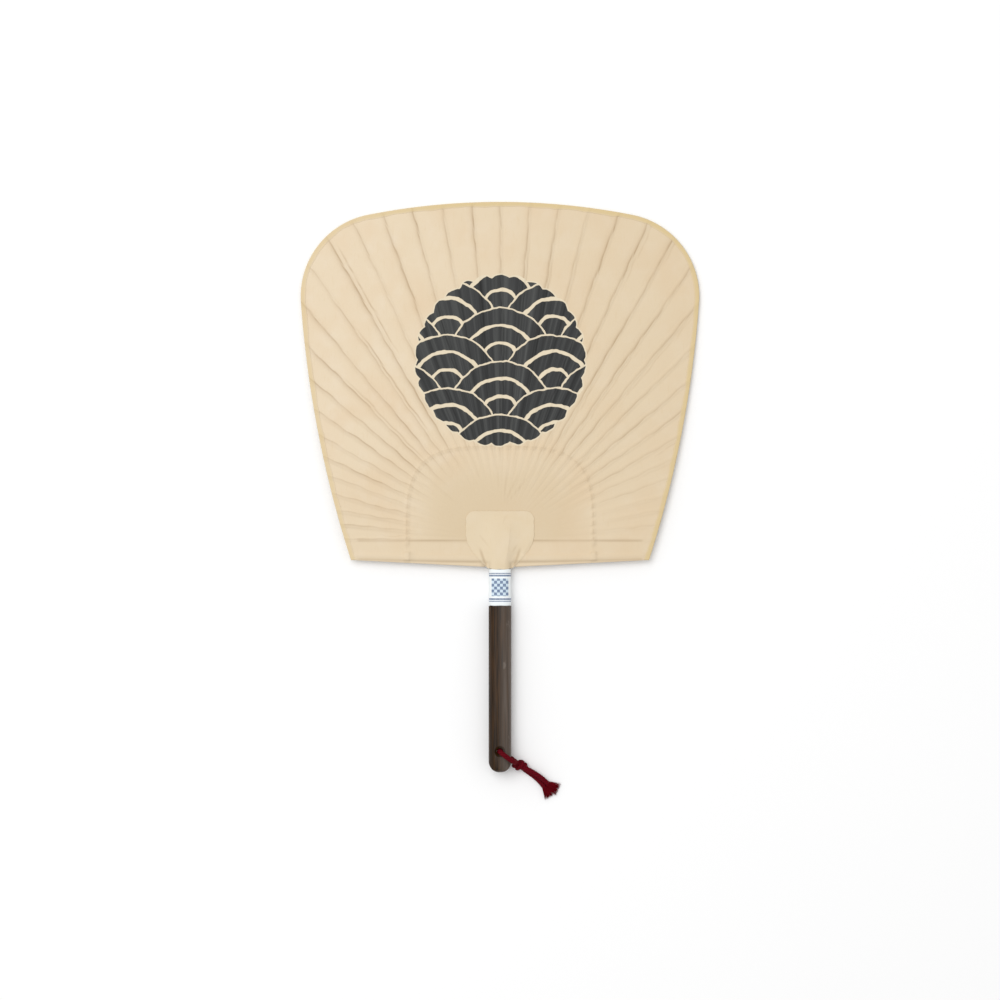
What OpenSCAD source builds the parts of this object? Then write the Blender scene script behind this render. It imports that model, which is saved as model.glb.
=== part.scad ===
// A paper hand fan: bamboo ribs between two sheets of paper, a slotted wooden handle and a knotted cord.
// The fan lies on its back. +Y points to the top of the blade, +Z to the viewer, and Z = 0 is the table.

/* [Blade] */
// Widest width over the edge tape
blade_w = 240; // [210:1:270]
// Height from the neck to the top edge
blade_h = 220.5; // [200:0.5:240]
// Width across the two lower corners
bottom_w = 179; // [165:1:190]
// Height of the lower corners above the neck
corner_rise = 4.6; // [3:0.1:6]
// Radius of the top edge
top_r = 410; // [360:5:500]
// Radius of the two shoulders
shoulder_r = 50; // [42:1:58]
// Radius of the two sides
side_r = 660; // [560:10:800]
// Thickness of one sheet of paper
paper_t = 0.2; // [0.15:0.05:0.3]

/* [Ribs] */
// Number of split ribs
rib_count = 37; // [29:2:41]
// Thickness of the ribs
rib_t = 1; // [0.8:0.1:1.4]
// Width of a rib where the ribs meet
rib_root_w = 1.6; // [1.3:0.1:1.8]
// Width of a rib at the top edge
rib_tip_w = 1.2; // [0.9:0.1:1.5]
// Height above the neck of the point where the ribs meet
spread_y = 17.4; // [16.4:0.2:19]
// Distance from the rib tips to the outer edge
tip_gap = 1.2; // [0.8:0.1:2]

/* [Bow and thread] */
// Diameter of the bow where it goes through the handle
bow_d = 3; // [2.4:0.1:3.4]
// Thickness of the bow at its tips
bow_tip_t = 1; // [0.8:0.1:1.4]
// Height of the bow above the neck at the handle
bow_y = 6; // [5.6:0.1:6.6]
// How much higher the bow's tips lie
bow_rise = 1.8; // [1.4:0.1:2.4]
// Width of the woven arch of thread
arch_w = 112; // [98:1:126]
// Height of the arch above the lowest ribs
arch_h = 55.5; // [50:0.5:62]
// How square the arch is: 2 is an ellipse, and more is squarer
arch_square = 3.6; // [2.4:0.1:4]
// Diameter of the thread
thread_d = 0.5; // [0.4:0.05:0.7]

/* [Edge tape and patches] */
// Width of the folded edge tape on each face
tape_w = 3; // [2.4:0.1:4]
// Thickness of the edge tape
tape_t = 0.2; // [0.15:0.05:0.3]
// Widest width of a neck patch
patch_w = 41; // [36:1:46]
// Height of a neck patch
patch_h = 34.2; // [32:0.2:38]
// Width of a neck patch where it meets the label
patch_neck_w = 15; // [14.6:0.1:17]
// Radius of the upper corners of a neck patch
patch_corner_r = 5; // [3:0.5:7]

/* [Handle] */
// Width of the grip
grip_w = 13.6; // [12.8:0.1:14.6]
// Thickness of the grip
grip_t = 10; // [9.4:0.1:10.6]
// Distance from the neck to the end of the grip
handle_len = 122.4; // [105:0.2:140]
// Width of the neck under the label
neck_w = 12.4; // [11.6:0.1:12.6]
// Thickness of the neck under the label
neck_t = 9.2; // [8.4:0.1:9.2]
// Height of the handle's head above the neck line
head_h = 25; // [23:0.5:28]
// Thickness of each cheek at the top of the head
cheek_tip_t = 0.8; // [0.6:0.1:1.2]
// Radius that rounds the end of the grip, seen from the side
end_round = 3.5; // [2:0.5:4]
// Distance from the cord hole to the end of the grip
hole_from_end = 12.6; // [11:0.2:16]
// Clearance of the cord in its hole, all round
hole_gap = 0.4; // [0.3:0.05:0.6]
// Length of the paper label
label_len = 22; // [18:0.5:26]

/* [Cord] */
// Diameter of the cord
cord_d = 3; // [2.6:0.1:3.2]
// Diameter of the knot
knot_d = 7.4; // [6.6:0.1:7.6]

/* [Hidden] */
$fn = 48;

// Clearances: a line of paste, a tongue in its slot, a rod in its hole, two pieces that turn past each other,
// and a thread beside a rib
paste = 0.02;
slip_gap = 0.1;
bore_gap = 0.2;
turn_gap = 0.2;
hair_gap = 0.15;

bamboo = "#d9b878";
stained = "#352822";
paper = "#e8d3b3";
tape = "#dcc08a";
label_white = "#e9f0f2";
crimson = "#6d1220";

// The blade's outline is three arcs a side, each tangent to the next: top, shoulder and side.
spread = [0, spread_y];
corner = [bottom_w / 2, corner_rise];
top_c = [0, blade_h - top_r];
shoulder_x = blade_w / 2 - shoulder_r;
shoulder_c = [shoulder_x, top_c[1] + sqrt(pow(top_r - shoulder_r, 2) - shoulder_x * shoulder_x)];
side_c = crossing(shoulder_c, side_r - shoulder_r, corner, side_r);
top_joint = top_c + (shoulder_c - top_c) * top_r / norm(shoulder_c - top_c);
side_joint = side_c + (shoulder_c - side_c) * side_r / norm(shoulder_c - side_c);
top_joint_a = bearing(top_joint);
side_joint_a = bearing(side_joint);

// Ribs
rib_pitch = 180 / (rib_count - 1);
rib_reach = blade_h - spread_y;
hub_r = (rib_root_w + hair_gap) / (2 * tan(rib_pitch / 2));
fan_out_r = 1.7 * hub_r;

// Heights above the blade's middle plane
ridge_z = rib_t / 2 + paste;
valley_z = paste;
thread_z = rib_t / 2 + thread_d / 2 + 2 * paste;
thread_lift = thread_d + 0.3;
thread_side = thread_d / 2 + 0.05;
tape_in_z = ridge_z + paper_t + paste;
tape_out_z = tape_in_z + tape_t;
patch_z = ridge_z + paper_t + paste;

// Paper sheet
bump_w = 2;
edge_gap = 0.15;
notch_x = neck_w / 2 + 2.8;
paper_stations = 7;
paper_columns = 3 * rib_count - 1;
strip_rows = 4;

// Handle
slot_floor = bow_y + bow_d / 2 + 3.4;
slot_z = patch_z - paste + slip_gap;
tongue_w = 9;
head_base_y = 3;
head_tip_z = slot_z + cheek_tip_t;
label_gap = 0.6;
label_t = 0.2;
neck_end_y = -(label_gap + label_len + 0.2);
hole_y = -(handle_len - hole_from_end);
hole_r = cord_d / 2 + hole_gap;
mouth_depth = 1.5;

// The fan rests on the top edge of its blade and on the cord that runs below the handle
cord_space = cord_d + turn_gap;
rest_span = blade_h - hole_y;
rest_drop = grip_t / 2 - tape_out_z;
tilt = asin(cord_space / norm([rest_span, rest_drop])) + atan(rest_drop / rest_span);
lift = blade_h * sin(tilt) + tape_out_z * cos(tilt);
top_reach = blade_h * cos(tilt) + tape_out_z * sin(tilt);
end_reach = (handle_len - end_round) * cos(tilt) + (grip_t / 2 - end_round) * sin(tilt) + end_round;
shift_y = (end_reach - top_reach) / 2;

// The cord's route: the loop as distance from the hole and height, the tails as X and Y from the hole and height
hole_at = [0, hole_y * cos(tilt) + shift_y, 0];
loop_a = -37;
loop_route = [[12.4, 2.4], [10, 1.6], [7.5, 1.5], [5, 1.5], [2.8, 1.5], [1.5, 1.8], [0.4, 2.9], [0, 4.6],
    [0, 8.2], [0, 12], [0.3, 13.5], [1.4, 14.9], [3.2, 15.4], [5.2, 15.3], [7.4, 14.6], [9.3, 13.1],
    [10.7, 11], [11.4, 8.6], [11.8, 6.6], [12.6, 4.8]];
knot_s = 14.7;
low_tail = [[13.5, -10.6, 2.2], [15.5, -12.2, 1.7], [17.5, -13.6, 1.5], [20, -15.3, 1.5],
    [22.6, -17.5, 1.5], [25, -20, 1.5], [26.6, -22.2, 1.5]];
high_tail = [[13.5, -10, 4.6], [16, -11, 4.6], [18.5, -12.3, 4.6], [21.2, -13.9, 4.5],
    [24, -15.8, 4], [26.8, -18, 2.9], [29, -20, 1.9]];
low_fray = [[26.6, -22.2, 1.5], [27.4, -23.3, 1.5], [28.8, -25.6, 1.3], [30.4, -28.4, 1.1]];
high_fray = [[29, -20, 1.9], [30.1, -21, 1.4], [32.4, -22.4, 1.3], [35.4, -23.8, 1.1]];
fray_w = [1.5, 1.6, 2.2, 2.9];
fray_t = [1.5, 1.4, 1.2, 1];

// Outline

// The crossing of two circles that lies on the left
function crossing(p, rp, q, rq) =
    let (d = norm(q - p), u = (q - p) / d, t = (rp * rp - rq * rq + d * d) / (2 * d))
    let (h = sqrt(rp * rp - t * t), a = p + u * t + h * [-u[1], u[0]], b = p + u * t - h * [-u[1], u[0]])
    a[0] < b[0] ? a : b;

function bearing(p) = atan2(p[1] - spread_y, p[0]);

// Centre and radius of the arc that a ray from the spread point meets at angle a
function rim_arc(a) =
    let (m = a > 90 ? 180 - a : a)
    let (arc = m < side_joint_a ? [side_c, side_r] : m < top_joint_a ? [shoulder_c, shoulder_r] : [top_c, top_r])
    a > 90 ? [[-arc[0][0], arc[0][1]], arc[1]] : arc;

// Length of that ray, to a line that lies inset inside the outline
function rim(a, inset = 0) =
    let (arc = rim_arc(a), e = arc[0] - spread, b = e * [cos(a), sin(a)], r = arc[1] - inset)
    b + sqrt(b * b - e * e + r * r);

// X of the side at height y
function side_x(y, inset = 0) = side_c[0] + sqrt(pow(side_r - inset, 2) - pow(y - side_c[1], 2));

function bottom_edge(x) = corner_rise * abs(x) / (bottom_w / 2);

function lerp(a, b, t) = a + (b - a) * t;

// Ribs, bow and thread

function rib_w(r) = lerp(rib_root_w, rib_tip_w, r / rib_reach);

bow_end_x = side_x(bow_y + bow_rise, tape_w + 1.2);

function bow_share(x) = max(0, (abs(x) - notch_x) / (bow_end_x - notch_x));
function bow_mid(x) = bow_y + bow_rise * pow(x / bow_end_x, 2);
function bow_half_t(x) = lerp(bow_d / 2, bow_tip_t / 2, bow_share(x));
function bow_half_w(x) = lerp(bow_d / 2, bow_d / 3, bow_share(x));

bow_half_x = [notch_x, hub_r, fan_out_r, arch_w / 2 - bump_w, arch_w / 2, arch_w / 2 + bump_w, bow_end_x];
bow_x = [for (k = [len(bow_half_x) - 1:-1:0]) -bow_half_x[k], for (x = bow_half_x) x];

// Length of a ray from the spread point to the woven arch
function arch(a) =
    pow(pow(abs(cos(a)) / (arch_w / 2), arch_square) + pow(abs(sin(a)) / arch_h, arch_square), -1 / arch_square);

// Two threads weave side by side: where one passes over a rib, the other passes under it
function thread_at(a, side, z) = concat(on_ray(a, arch(a) + side * thread_side, 0), [z]);
function thread_turn(a) = asin((rib_w(arch(a)) / 2 + hair_gap) / arch(a));

thread_foot_y = bow_mid(arch_w / 2) + bow_half_w(arch_w / 2) + slip_gap + thread_d / 2;
thread_rest_y = (spread_y - rib_w(arch_w / 2) / 2 + thread_foot_y) / 2;

function thread_route(side) =
    let (x = arch_w / 2 + side * thread_side)
    [
        [x, thread_foot_y, 0],
        [x, thread_rest_y, 0],
        for (k = [0:rib_count - 1])
            let (a = k * rib_pitch, turn = thread_turn(a), z = (k % 2 == 0 ? side : -side) * thread_z)
            each [
                thread_at(a - turn, side, z),
                thread_at(a + turn, side, z),
                if (k < rib_count - 1) thread_at(a + rib_pitch / 2, side, 0)
            ],
        [-x, thread_rest_y, 0],
        [-x, thread_foot_y, 0]
    ];

// Paper sheet: a polar grid above the lowest ribs, and a strip each side of the handle below them

function on_ray(a, r, lateral) = spread + r * [cos(a), sin(a)] + lateral * [-sin(a), cos(a)];

// Angle of a column, and which edge of its rib it is (-1, 1) or the valley (0)
function paper_column(i) = let (k = floor(i / 3), m = i % 3)
    m == 2 ? [(k + 0.5) * rib_pitch, 0] : [k * rib_pitch, m == 0 ? -1 : 1];

function rim_station(a, side, inset) =
    let (r = rim(a, inset), turn = side * asin(rib_w(r) / 2 / r)) rim(a + turn, inset) * cos(turn);

function station(j, a, side) =
    j == 0 ? hub_r :
    j == 1 ? fan_out_r :
    j == 2 ? arch(a) - bump_w :
    j == 3 ? arch(a) :
    j == 4 ? arch(a) + bump_w :
    rim_station(a, side, j == 5 ? tape_w : tape_t + edge_gap);

function paper_low(j, side) =
    j == 0 ? ridge_z :
    side == 0 ? valley_z + (j == 3 ? thread_lift : 0) :
    ridge_z + (j == 3 ? thread_lift : 0);

function polar_point(i, j) =
    let (c = paper_column(i), r = station(j, c[0], c[1]), p = on_ray(c[0], r, c[1] * rib_w(r) / 2))
    [p[0], p[1], paper_low(j, c[1])];

// Strip columns: the notch beside the handle, then the stations along the lowest rib
function strip_x0(c) = c == 0 ? notch_x : station(c - 1, 0, 0);

function strip_y(row, x) =
    let (under_rib = spread_y - rib_w(x) / 2, over_bow = bow_mid(x) + bow_half_w(x) + slip_gap)
    row == 0 ? under_rib :
    row == 1 ? (under_rib + over_bow) / 2 :
    row == 2 ? over_bow :
    row == 3 ? bow_mid(x) - bow_half_w(x) - slip_gap :
    bottom_edge(x) + tape_t;

function strip_low(row, c, x) =
    let (bump = c == 4 ? thread_lift : 0)
    row == 0 ? ridge_z + bump :
    row == 2 || row == 3 ? bow_half_t(min(x, bow_end_x)) + paste + bump :
    valley_z + bump;

function strip_point(row, c, s) =
    let (x0 = strip_x0(c), y = strip_y(row, x0))
    let (x = c == 6 ? side_x(y, tape_w) : c == 7 ? side_x(y, tape_t + edge_gap) : x0)
    [s * x, y, strip_low(row, c, x0)];

function raised(points, dz) = [for (p = points) p + [0, 0, dz]];

paper_low_points = [
    for (i = [0:paper_columns - 1], j = [0:paper_stations - 1]) polar_point(i, j),
    for (s = [1, -1]) each [
        strip_point(0, 0, s),
        for (row = [1:strip_rows], c = [0:paper_stations]) strip_point(row, c, s)
    ]
];
strip_points = 1 + strip_rows * (paper_stations + 1);
polar_points = paper_columns * paper_stations;

function polar_id(i, j) = i * paper_stations + j;
function strip_id(row, c, s) =
    row == 0 && c > 0 ? polar_id(s > 0 ? 0 : paper_columns - 1, c - 1) :
    polar_points + (s > 0 ? 0 : strip_points) + (row == 0 ? 0 : 1 + (row - 1) * (paper_stations + 1) + c);

function turned(face) = [for (k = [len(face) - 1:-1:0]) face[k]];
function halves(q) = [[q[0], q[1], q[2]], [q[0], q[2], q[3]]];

// Faces of the sheet, anticlockwise from above
paper_faces = [
    [strip_id(0, 0, 1), for (i = [0:paper_columns - 1]) polar_id(i, 0), strip_id(0, 0, -1)],
    for (i = [0:paper_columns - 2], j = [0:paper_stations - 2])
        each halves([polar_id(i, j), polar_id(i, j + 1), polar_id(i + 1, j + 1), polar_id(i + 1, j)]),
    for (s = [1, -1], row = [0:strip_rows - 1], c = [0:paper_stations - 1])
        let (q = [strip_id(row, c, s), strip_id(row + 1, c, s), strip_id(row + 1, c + 1, s), strip_id(row, c + 1, s)])
        each halves(s > 0 ? q : turned(q))
];
paper_border = [
    for (row = [0:strip_rows]) strip_id(row, 0, 1),
    for (c = [1:paper_stations]) strip_id(strip_rows, c, 1),
    for (row = [strip_rows - 1:-1:1]) strip_id(row, paper_stations, 1),
    for (i = [0:paper_columns - 1]) polar_id(i, paper_stations - 1),
    for (row = [1:strip_rows]) strip_id(row, paper_stations, -1),
    for (c = [paper_stations - 1:-1:0]) strip_id(strip_rows, c, -1),
    for (row = [strip_rows - 1:-1:0]) strip_id(row, 0, -1)
];

// Solids from surfaces

// A sheet of thickness t over low points: faces are anticlockwise from above, and border goes round it likewise
module sheet(low, faces, border, t) {
    n = len(low);
    m = len(border);
    polyhedron(
        points = concat(raised(low, t), low),
        faces = [
            for (f = faces) turned(f),
            for (f = faces) [for (v = f) v + n],
            for (k = [0:m - 1])
                let (a = border[k], b = border[(k + 1) % m])
                each halves([a, b, b + n, a + n])
        ]
    );
}

// A solid through rings of points, all with the same number of points
module skin(rings) {
    m = len(rings);
    n = len(rings[0]);
    polyhedron(
        points = [for (ring = rings) each ring],
        faces = [
            [for (k = [n - 1:-1:0]) k],
            [for (k = [0:n - 1]) (m - 1) * n + k],
            for (i = [0:m - 2], k = [0:n - 1])
                let (l = (k + 1) % n)
                each halves([i * n + k, i * n + l, (i + 1) * n + l, (i + 1) * n + k])
        ]
    );
}

function unit(v) = v / norm(v);
function heading(path, i) = unit(path[min(i + 1, len(path) - 1)] - path[max(i - 1, 0)]);

// Rings of an oval section along a path: half_w lies across flat, half_t the other way
function oval_rings(path, half_w, half_t, up, sides) = [
    for (i = [0:len(path) - 1])
        let (t = heading(path, i), u = unit(cross(t, up)), v = cross(u, t))
        [for (k = [0:sides - 1])
            let (a = (k + 0.5) * 360 / sides)
            path[i] + (half_w[i] * cos(a) * u + half_t[i] * sin(a) * v)]
];

module round_cord(path, d, up = [0, 0, 1], sides = 8) {
    half = [for (p = path) d / 2];
    skin(oval_rings(path, half, half, up, sides));
}

// Neck patch

patch_foot_x = 13.4;
patch_foot_y = 10.5;
patch_bottom_y = 20;

function patch_half(y) =
    let (side = lerp(patch_neck_w / 2, patch_w / 2, sin(90 * min(1, y / patch_bottom_y))))
    let (over = max(0, y - (patch_h - patch_corner_r)))
    side - patch_corner_r + sqrt(max(0, pow(patch_corner_r, 2) - over * over));

// Outer height of the handle's head along the blade, and of its round section across
function head_z(y) = lerp(neck_t / 2, head_tip_z, min(1, max(0, (y - head_base_y) / (head_h - head_base_y))));
function round_z(x, y) =
    let (r = neck_t / 2 + 0.3, e = max(0, abs(x) - (neck_w - neck_t) / 2))
    e < r && y < head_h + 0.6 ? min(sqrt(r * r - e * e), head_z(y) + 0.2) : 0;

// The paper of the patch hangs from the head to the blade, on a foot that widens above the neck
function drape_z(x, y) =
    let (top = y < head_h + 0.6 ? head_z(y) + 0.2 : patch_z)
    let (foot_x = lerp(patch_neck_w / 2, patch_foot_x, min(1, y / patch_foot_y)))
    let (t = min(1, max(0, (abs(x) - 2) / (foot_x - 2))))
    lerp(patch_z, top, 0.5 + 0.5 * cos(180 * t));

// Height of the paper strip beside the handle, with its ridge over the bow
function strip_top(x, y) =
    let (a = max(notch_x, abs(x)), rows = [for (r = [0:4]) strip_y(r, a)])
    let (z = [ridge_z, valley_z, bow_half_t(a) + paste, bow_half_t(a) + paste, valley_z])
    let (k = y > rows[1] ? 0 : y > rows[2] ? 1 : y > rows[3] ? 2 : 3)
    y > rows[0] ? patch_z : lerp(z[k], z[k + 1], (rows[k] - y) / (rows[k] - rows[k + 1])) + paper_t + slip_gap;

function patch_low(x, y) = max(round_z(x, y), drape_z(x, y), strip_top(x, y));

patch_rows = [0, 2.4, strip_y(3, notch_x), strip_y(2, notch_x), 9.6, strip_y(1, notch_x), 14.2,
    strip_y(0, notch_x), 19.4, head_h - 2.4, head_h + 0.5, patch_h - patch_corner_r,
    patch_h - patch_corner_r * 0.4, patch_h - patch_corner_r * 0.1, patch_h];
patch_near_x = [0, 1.6, 3, 4, 4.9, 5.7, neck_w / 2 + 0.4];
patch_far = 3;
patch_half_x = len(patch_near_x) + patch_far;

function patch_x(k, y) =
    let (near = len(patch_near_x), last = patch_near_x[near - 1])
    k < near ? patch_near_x[k] : lerp(last, patch_half(y), (k - near + 1) / patch_far);

patch_columns = 2 * patch_half_x - 1;
patch_points = [
    for (y = patch_rows, i = [0:patch_columns - 1])
        let (k = i - (patch_half_x - 1), x = sign(k) * patch_x(abs(k), y))
        [x, y, patch_low(x, y)]
];
patch_last = len(patch_rows) - 1;
patch_faces = [
    for (j = [0:patch_last - 1], i = [0:patch_columns - 2])
        let (a = j * patch_columns + i, b = a + patch_columns)
        each halves([a, a + 1, b + 1, b])
];
patch_border = [
    for (i = [0:patch_columns - 1]) i,
    for (j = [1:patch_last]) j * patch_columns + patch_columns - 1,
    for (i = [patch_columns - 2:-1:0]) patch_last * patch_columns + i,
    for (j = [patch_last - 1:-1:1]) j * patch_columns
];

// Sub-parts

module lying() {
    translate([0, shift_y, lift]) rotate([-tilt, 0, 0]) children();
}

module mirrored_z() {
    mirror([0, 0, 1]) children();
}

// A flat oval of straight sides and round ends
module stadium(w, t) {
    square([w - t, t], center = true);
    for (s = [-1, 1]) translate([s * (w - t) / 2, 0]) circle(d = t);
}

// The handle's outline seen from the front: round at both ends
module handle_front() {
    r = grip_w / 2;
    translate([-r, r - handle_len]) square([grip_w, handle_len - r + head_h - r]);
    translate([0, r - handle_len]) circle(r);
    translate([0, head_h - r]) circle(r);
}

// The handle's outline seen from the side, as [z, y]: the head thins out under the patches
module handle_side() {
    z = grip_t / 2;
    difference() {
        polygon([[-z, -handle_len], [-z, neck_end_y], [-neck_t / 2, neck_end_y], [-neck_t / 2, head_base_y],
            [-head_tip_z, head_h], [head_tip_z, head_h],
            [neck_t / 2, head_base_y], [neck_t / 2, neck_end_y], [z, neck_end_y], [z, -handle_len]]);
        for (s = [0, 1]) mirror([s, 0]) translate([z - end_round, end_round - handle_len]) difference() {
            translate([0, -2 * end_round]) square(2 * end_round);
            circle(end_round);
        }
    }
}

module handle_body() {
    intersection() {
        union() {
            translate([0, neck_end_y, 0]) rotate([90, 0, 0])
                linear_extrude(handle_len + neck_end_y) stadium(grip_w, grip_t);
            translate([0, head_h, 0]) rotate([90, 0, 0])
                linear_extrude(head_h - neck_end_y + 1) stadium(neck_w, neck_t);
        }
        translate([0, 0, -grip_t]) linear_extrude(2 * grip_t) handle_front();
        translate([-grip_w, 0, 0]) rotate([0, 90, 0]) mirror([1, 0, 0])
            linear_extrude(2 * grip_w) handle_side();
    }
}

// The cord hole, with a mouth that widens at both faces
module cord_hole() {
    cylinder(h = 2 * grip_t, r = hole_r, center = true);
    for (s = [0, 1]) mirror([0, 0, s])
        translate([0, 0, grip_t / 2 - mouth_depth])
            cylinder(h = 2 * mouth_depth, r1 = hole_r, r2 = hole_r + 2 * mouth_depth);
}

module handle() {
    color(stained) lying() difference() {
        handle_body();
        translate([-grip_w, slot_floor, -slot_z]) cube([2 * grip_w, head_h, 2 * slot_z]);
        translate([0, bow_y, 0]) rotate([0, 90, 0])
            cylinder(h = 2 * grip_w, r = bow_d / 2 + bore_gap, center = true);
        translate([0, hole_y, 0]) cord_hole();
    }
}

// One stock of bamboo: a tongue in the handle's slot, split into ribs above it
module rib_frame() {
    color(bamboo) lying() translate([0, 0, -rib_t / 2]) linear_extrude(rib_t) {
        translate([-tongue_w / 2, slot_floor + slip_gap])
            square([tongue_w, spread_y - slot_floor - slip_gap]);
        translate(spread) for (k = [0:rib_count - 1]) {
            reach = rim(k * rib_pitch, tip_gap);
            rotate(k * rib_pitch) polygon([[0, -rib_root_w / 2], [reach, -rib_w(reach) / 2],
                [reach, rib_w(reach) / 2], [0, rib_root_w / 2]]);
        }
    }
}

module bow() {
    path = [for (x = bow_x) [x, bow_mid(x), 0]];
    grow = 1 / cos(22.5);
    half_w = [for (x = bow_x) bow_half_w(x) * grow];
    half_t = [for (x = bow_x) bow_half_t(x) * grow];
    color(bamboo) lying() skin(oval_rings(path, half_w, half_t, [0, 0, 1], 8));
}

// A rectangle of half sizes w and t with its corners cut off
module cut_corners(w, t, c) {
    polygon([[w, t - c], [w - c, t], [c - w, t], [-w, t - c], [-w, c - t], [c - w, -t], [w - c, -t], [w, c - t]]);
}

// Both threads are hitched once round the bow at each foot
module weave_thread() {
    w = bow_half_w(arch_w / 2) + slip_gap;
    t = bow_half_t(arch_w / 2) + slip_gap;
    color("#cbb182") lying() {
        for (side = [-1, 1]) round_cord(thread_route(side), thread_d, sides = 6);
        for (s = [-1, 1]) translate([s * arch_w / 2, bow_mid(arch_w / 2), 0]) rotate([90, 0, 90])
            linear_extrude(2 * thread_side + thread_d, center = true) difference() {
                cut_corners(w + thread_d, t + thread_d, thread_d);
                square([2 * w, 2 * t], center = true);
            }
    }
}

module paper_sheet() {
    sheet(paper_low_points, paper_faces, paper_border, paper_t);
}

module front_paper() {
    color(paper) lying() paper_sheet();
}

module back_paper() {
    color(paper) lying() mirrored_z() paper_sheet();
}

// A strip of paper folded over the edge, from one lower corner round the top to the other
module edge_tape() {
    first = bearing(corner);
    angles = [first, for (k = [0:2 * (rib_count - 1)]) k * rib_pitch / 2, 180 - first];
    section = [[0, tape_out_z], [tape_w, tape_out_z], [tape_w, tape_in_z], [tape_t, tape_in_z],
        [tape_t, -tape_in_z], [tape_w, -tape_in_z], [tape_w, -tape_out_z], [0, -tape_out_z]];
    color(tape) lying() skin([
        for (a = angles)
            let (p = on_ray(a, rim(a), 0), inward = unit(rim_arc(a)[0] - p))
            [for (q = section) [p[0] + q[0] * inward[0], p[1] + q[0] * inward[1], q[1]]]
    ]);
}

module patch_sheet() {
    sheet(patch_points, patch_faces, patch_border, paper_t);
}

module front_patch() {
    color(paper) lying() patch_sheet();
}

module back_patch() {
    color(paper) lying() mirrored_z() patch_sheet();
}

// A paper band pasted round the neck
module neck_label() {
    color(label_white) lying() translate([0, -label_gap, 0]) rotate([90, 0, 0])
        linear_extrude(label_len) difference() {
            stadium(neck_w + 2 * (paste + label_t), neck_t + 2 * (paste + label_t));
            stadium(neck_w + 2 * paste, neck_t + 2 * paste);
        }
}

module from_hole() {
    translate(hole_at) children();
}

module cord_loop() {
    path = [for (p = loop_route) [p[0] * cos(loop_a), p[0] * sin(loop_a), p[1]]];
    color(crimson) from_hole() round_cord(path, cord_d, up = [-sin(loop_a), cos(loop_a), 0]);
}

// The doubled cord tied in one knot: three turns side by side, the middle one proud
module cord_knot() {
    r = cord_d / 2;
    step = 0.75 * cord_d;
    color(crimson) from_hole() rotate(loop_a) translate([knot_s, 0, knot_d / 2]) rotate([0, 90, 0])
        rotate_extrude() {
            for (k = [-1, 0, 1]) translate([knot_d / 2 - r - 0.6 * abs(k), k * step]) circle(r);
            translate([0, -step]) square([knot_d / 2 - r, 2 * step]);
        }
}

module cord_tails() {
    color(crimson) from_hole() {
        round_cord(low_tail, cord_d);
        round_cord(high_tail, cord_d);
    }
}

module frayed_ends() {
    color(crimson) from_hole() for (path = [low_fray, high_fray])
        skin(oval_rings(path, fray_w, fray_t, [0, 0, 1], 8));
}

handle();
rib_frame();
bow();
weave_thread();
front_paper();
back_paper();
edge_tape();
front_patch();
back_patch();
neck_label();
cord_loop();
cord_knot();
cord_tails();
frayed_ends();
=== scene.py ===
import math
import bmesh
import bpy
import mathutils
import numpy as np
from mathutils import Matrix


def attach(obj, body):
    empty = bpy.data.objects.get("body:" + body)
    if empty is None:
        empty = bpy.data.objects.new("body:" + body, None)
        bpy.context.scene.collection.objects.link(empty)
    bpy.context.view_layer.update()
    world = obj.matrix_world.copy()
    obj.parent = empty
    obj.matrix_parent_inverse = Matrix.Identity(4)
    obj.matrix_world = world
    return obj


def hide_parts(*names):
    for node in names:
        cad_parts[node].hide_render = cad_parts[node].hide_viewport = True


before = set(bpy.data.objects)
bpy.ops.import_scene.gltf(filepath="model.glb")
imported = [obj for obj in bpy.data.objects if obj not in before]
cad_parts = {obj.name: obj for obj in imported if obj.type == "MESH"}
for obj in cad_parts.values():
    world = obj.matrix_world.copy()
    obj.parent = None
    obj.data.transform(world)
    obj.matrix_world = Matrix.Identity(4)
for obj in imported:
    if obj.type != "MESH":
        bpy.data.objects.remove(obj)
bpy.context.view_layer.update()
bpy.context.scene.view_settings.view_transform = "Standard"  # keeps the pale paper its own colour

# Lengths are in millimetres until a point is placed in the frame, which is in metres.
milli = 0.001
front, back = 1, -1  # the fan's faces: the sign of the height off its middle plane
blade = {"width": 240, "height": 220.5, "bottomWidth": 179, "cornerRise": 4.6, "topRadius": 410,
         "shoulderRadius": 50, "sideRadius": 660, "spreadY": 17.4, "ribs": 37}
pitch = math.pi / (blade["ribs"] - 1)  # from rib to rib
maxReach = blade["height"] - blade["spreadY"]
labelGap = 0.6  # from the neck line down to the label


def cornersOf(mesh):
    # The corners of a mesh, in metres
    flat = np.empty(len(mesh.vertices) * 3, np.float32)
    mesh.vertices.foreach_get("co", flat)
    return flat.reshape(-1, 3).astype(float)


# The fan leans a little on the table. Its ribs give the middle plane, the label's top edge the neck line.
ribPoints = cornersOf(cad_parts["rib_frame"].data)
labelPoints = cornersOf(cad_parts["neck_label"].data)
normal = np.linalg.svd(ribPoints - ribPoints.mean(0), full_matrices=False)[2][2] * (0, 1, 1)
normal *= np.sign(normal[2]) / np.linalg.norm(normal)
upBlade = np.array([0, normal[2], -normal[1]])
middle = np.ptp(ribPoints @ normal) / 2 + (ribPoints @ normal).min()
neckLine = (labelPoints @ upBlade).max() + labelGap * milli


def place(x, y, z):
    # A point x across, y up the blade from the neck line and z off its middle plane, into the frame
    x, y, z = (np.asarray(v, float)[..., None] * milli for v in np.broadcast_arrays(x, y, z))
    return x * np.array([1, 0, 0]) + (y + neckLine) * upBlade + (z + middle) * normal


def addObject(name, data):
    # A new object in the scene
    thing = bpy.data.objects.new(name, data)
    bpy.context.scene.collection.objects.link(thing)
    return thing


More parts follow.
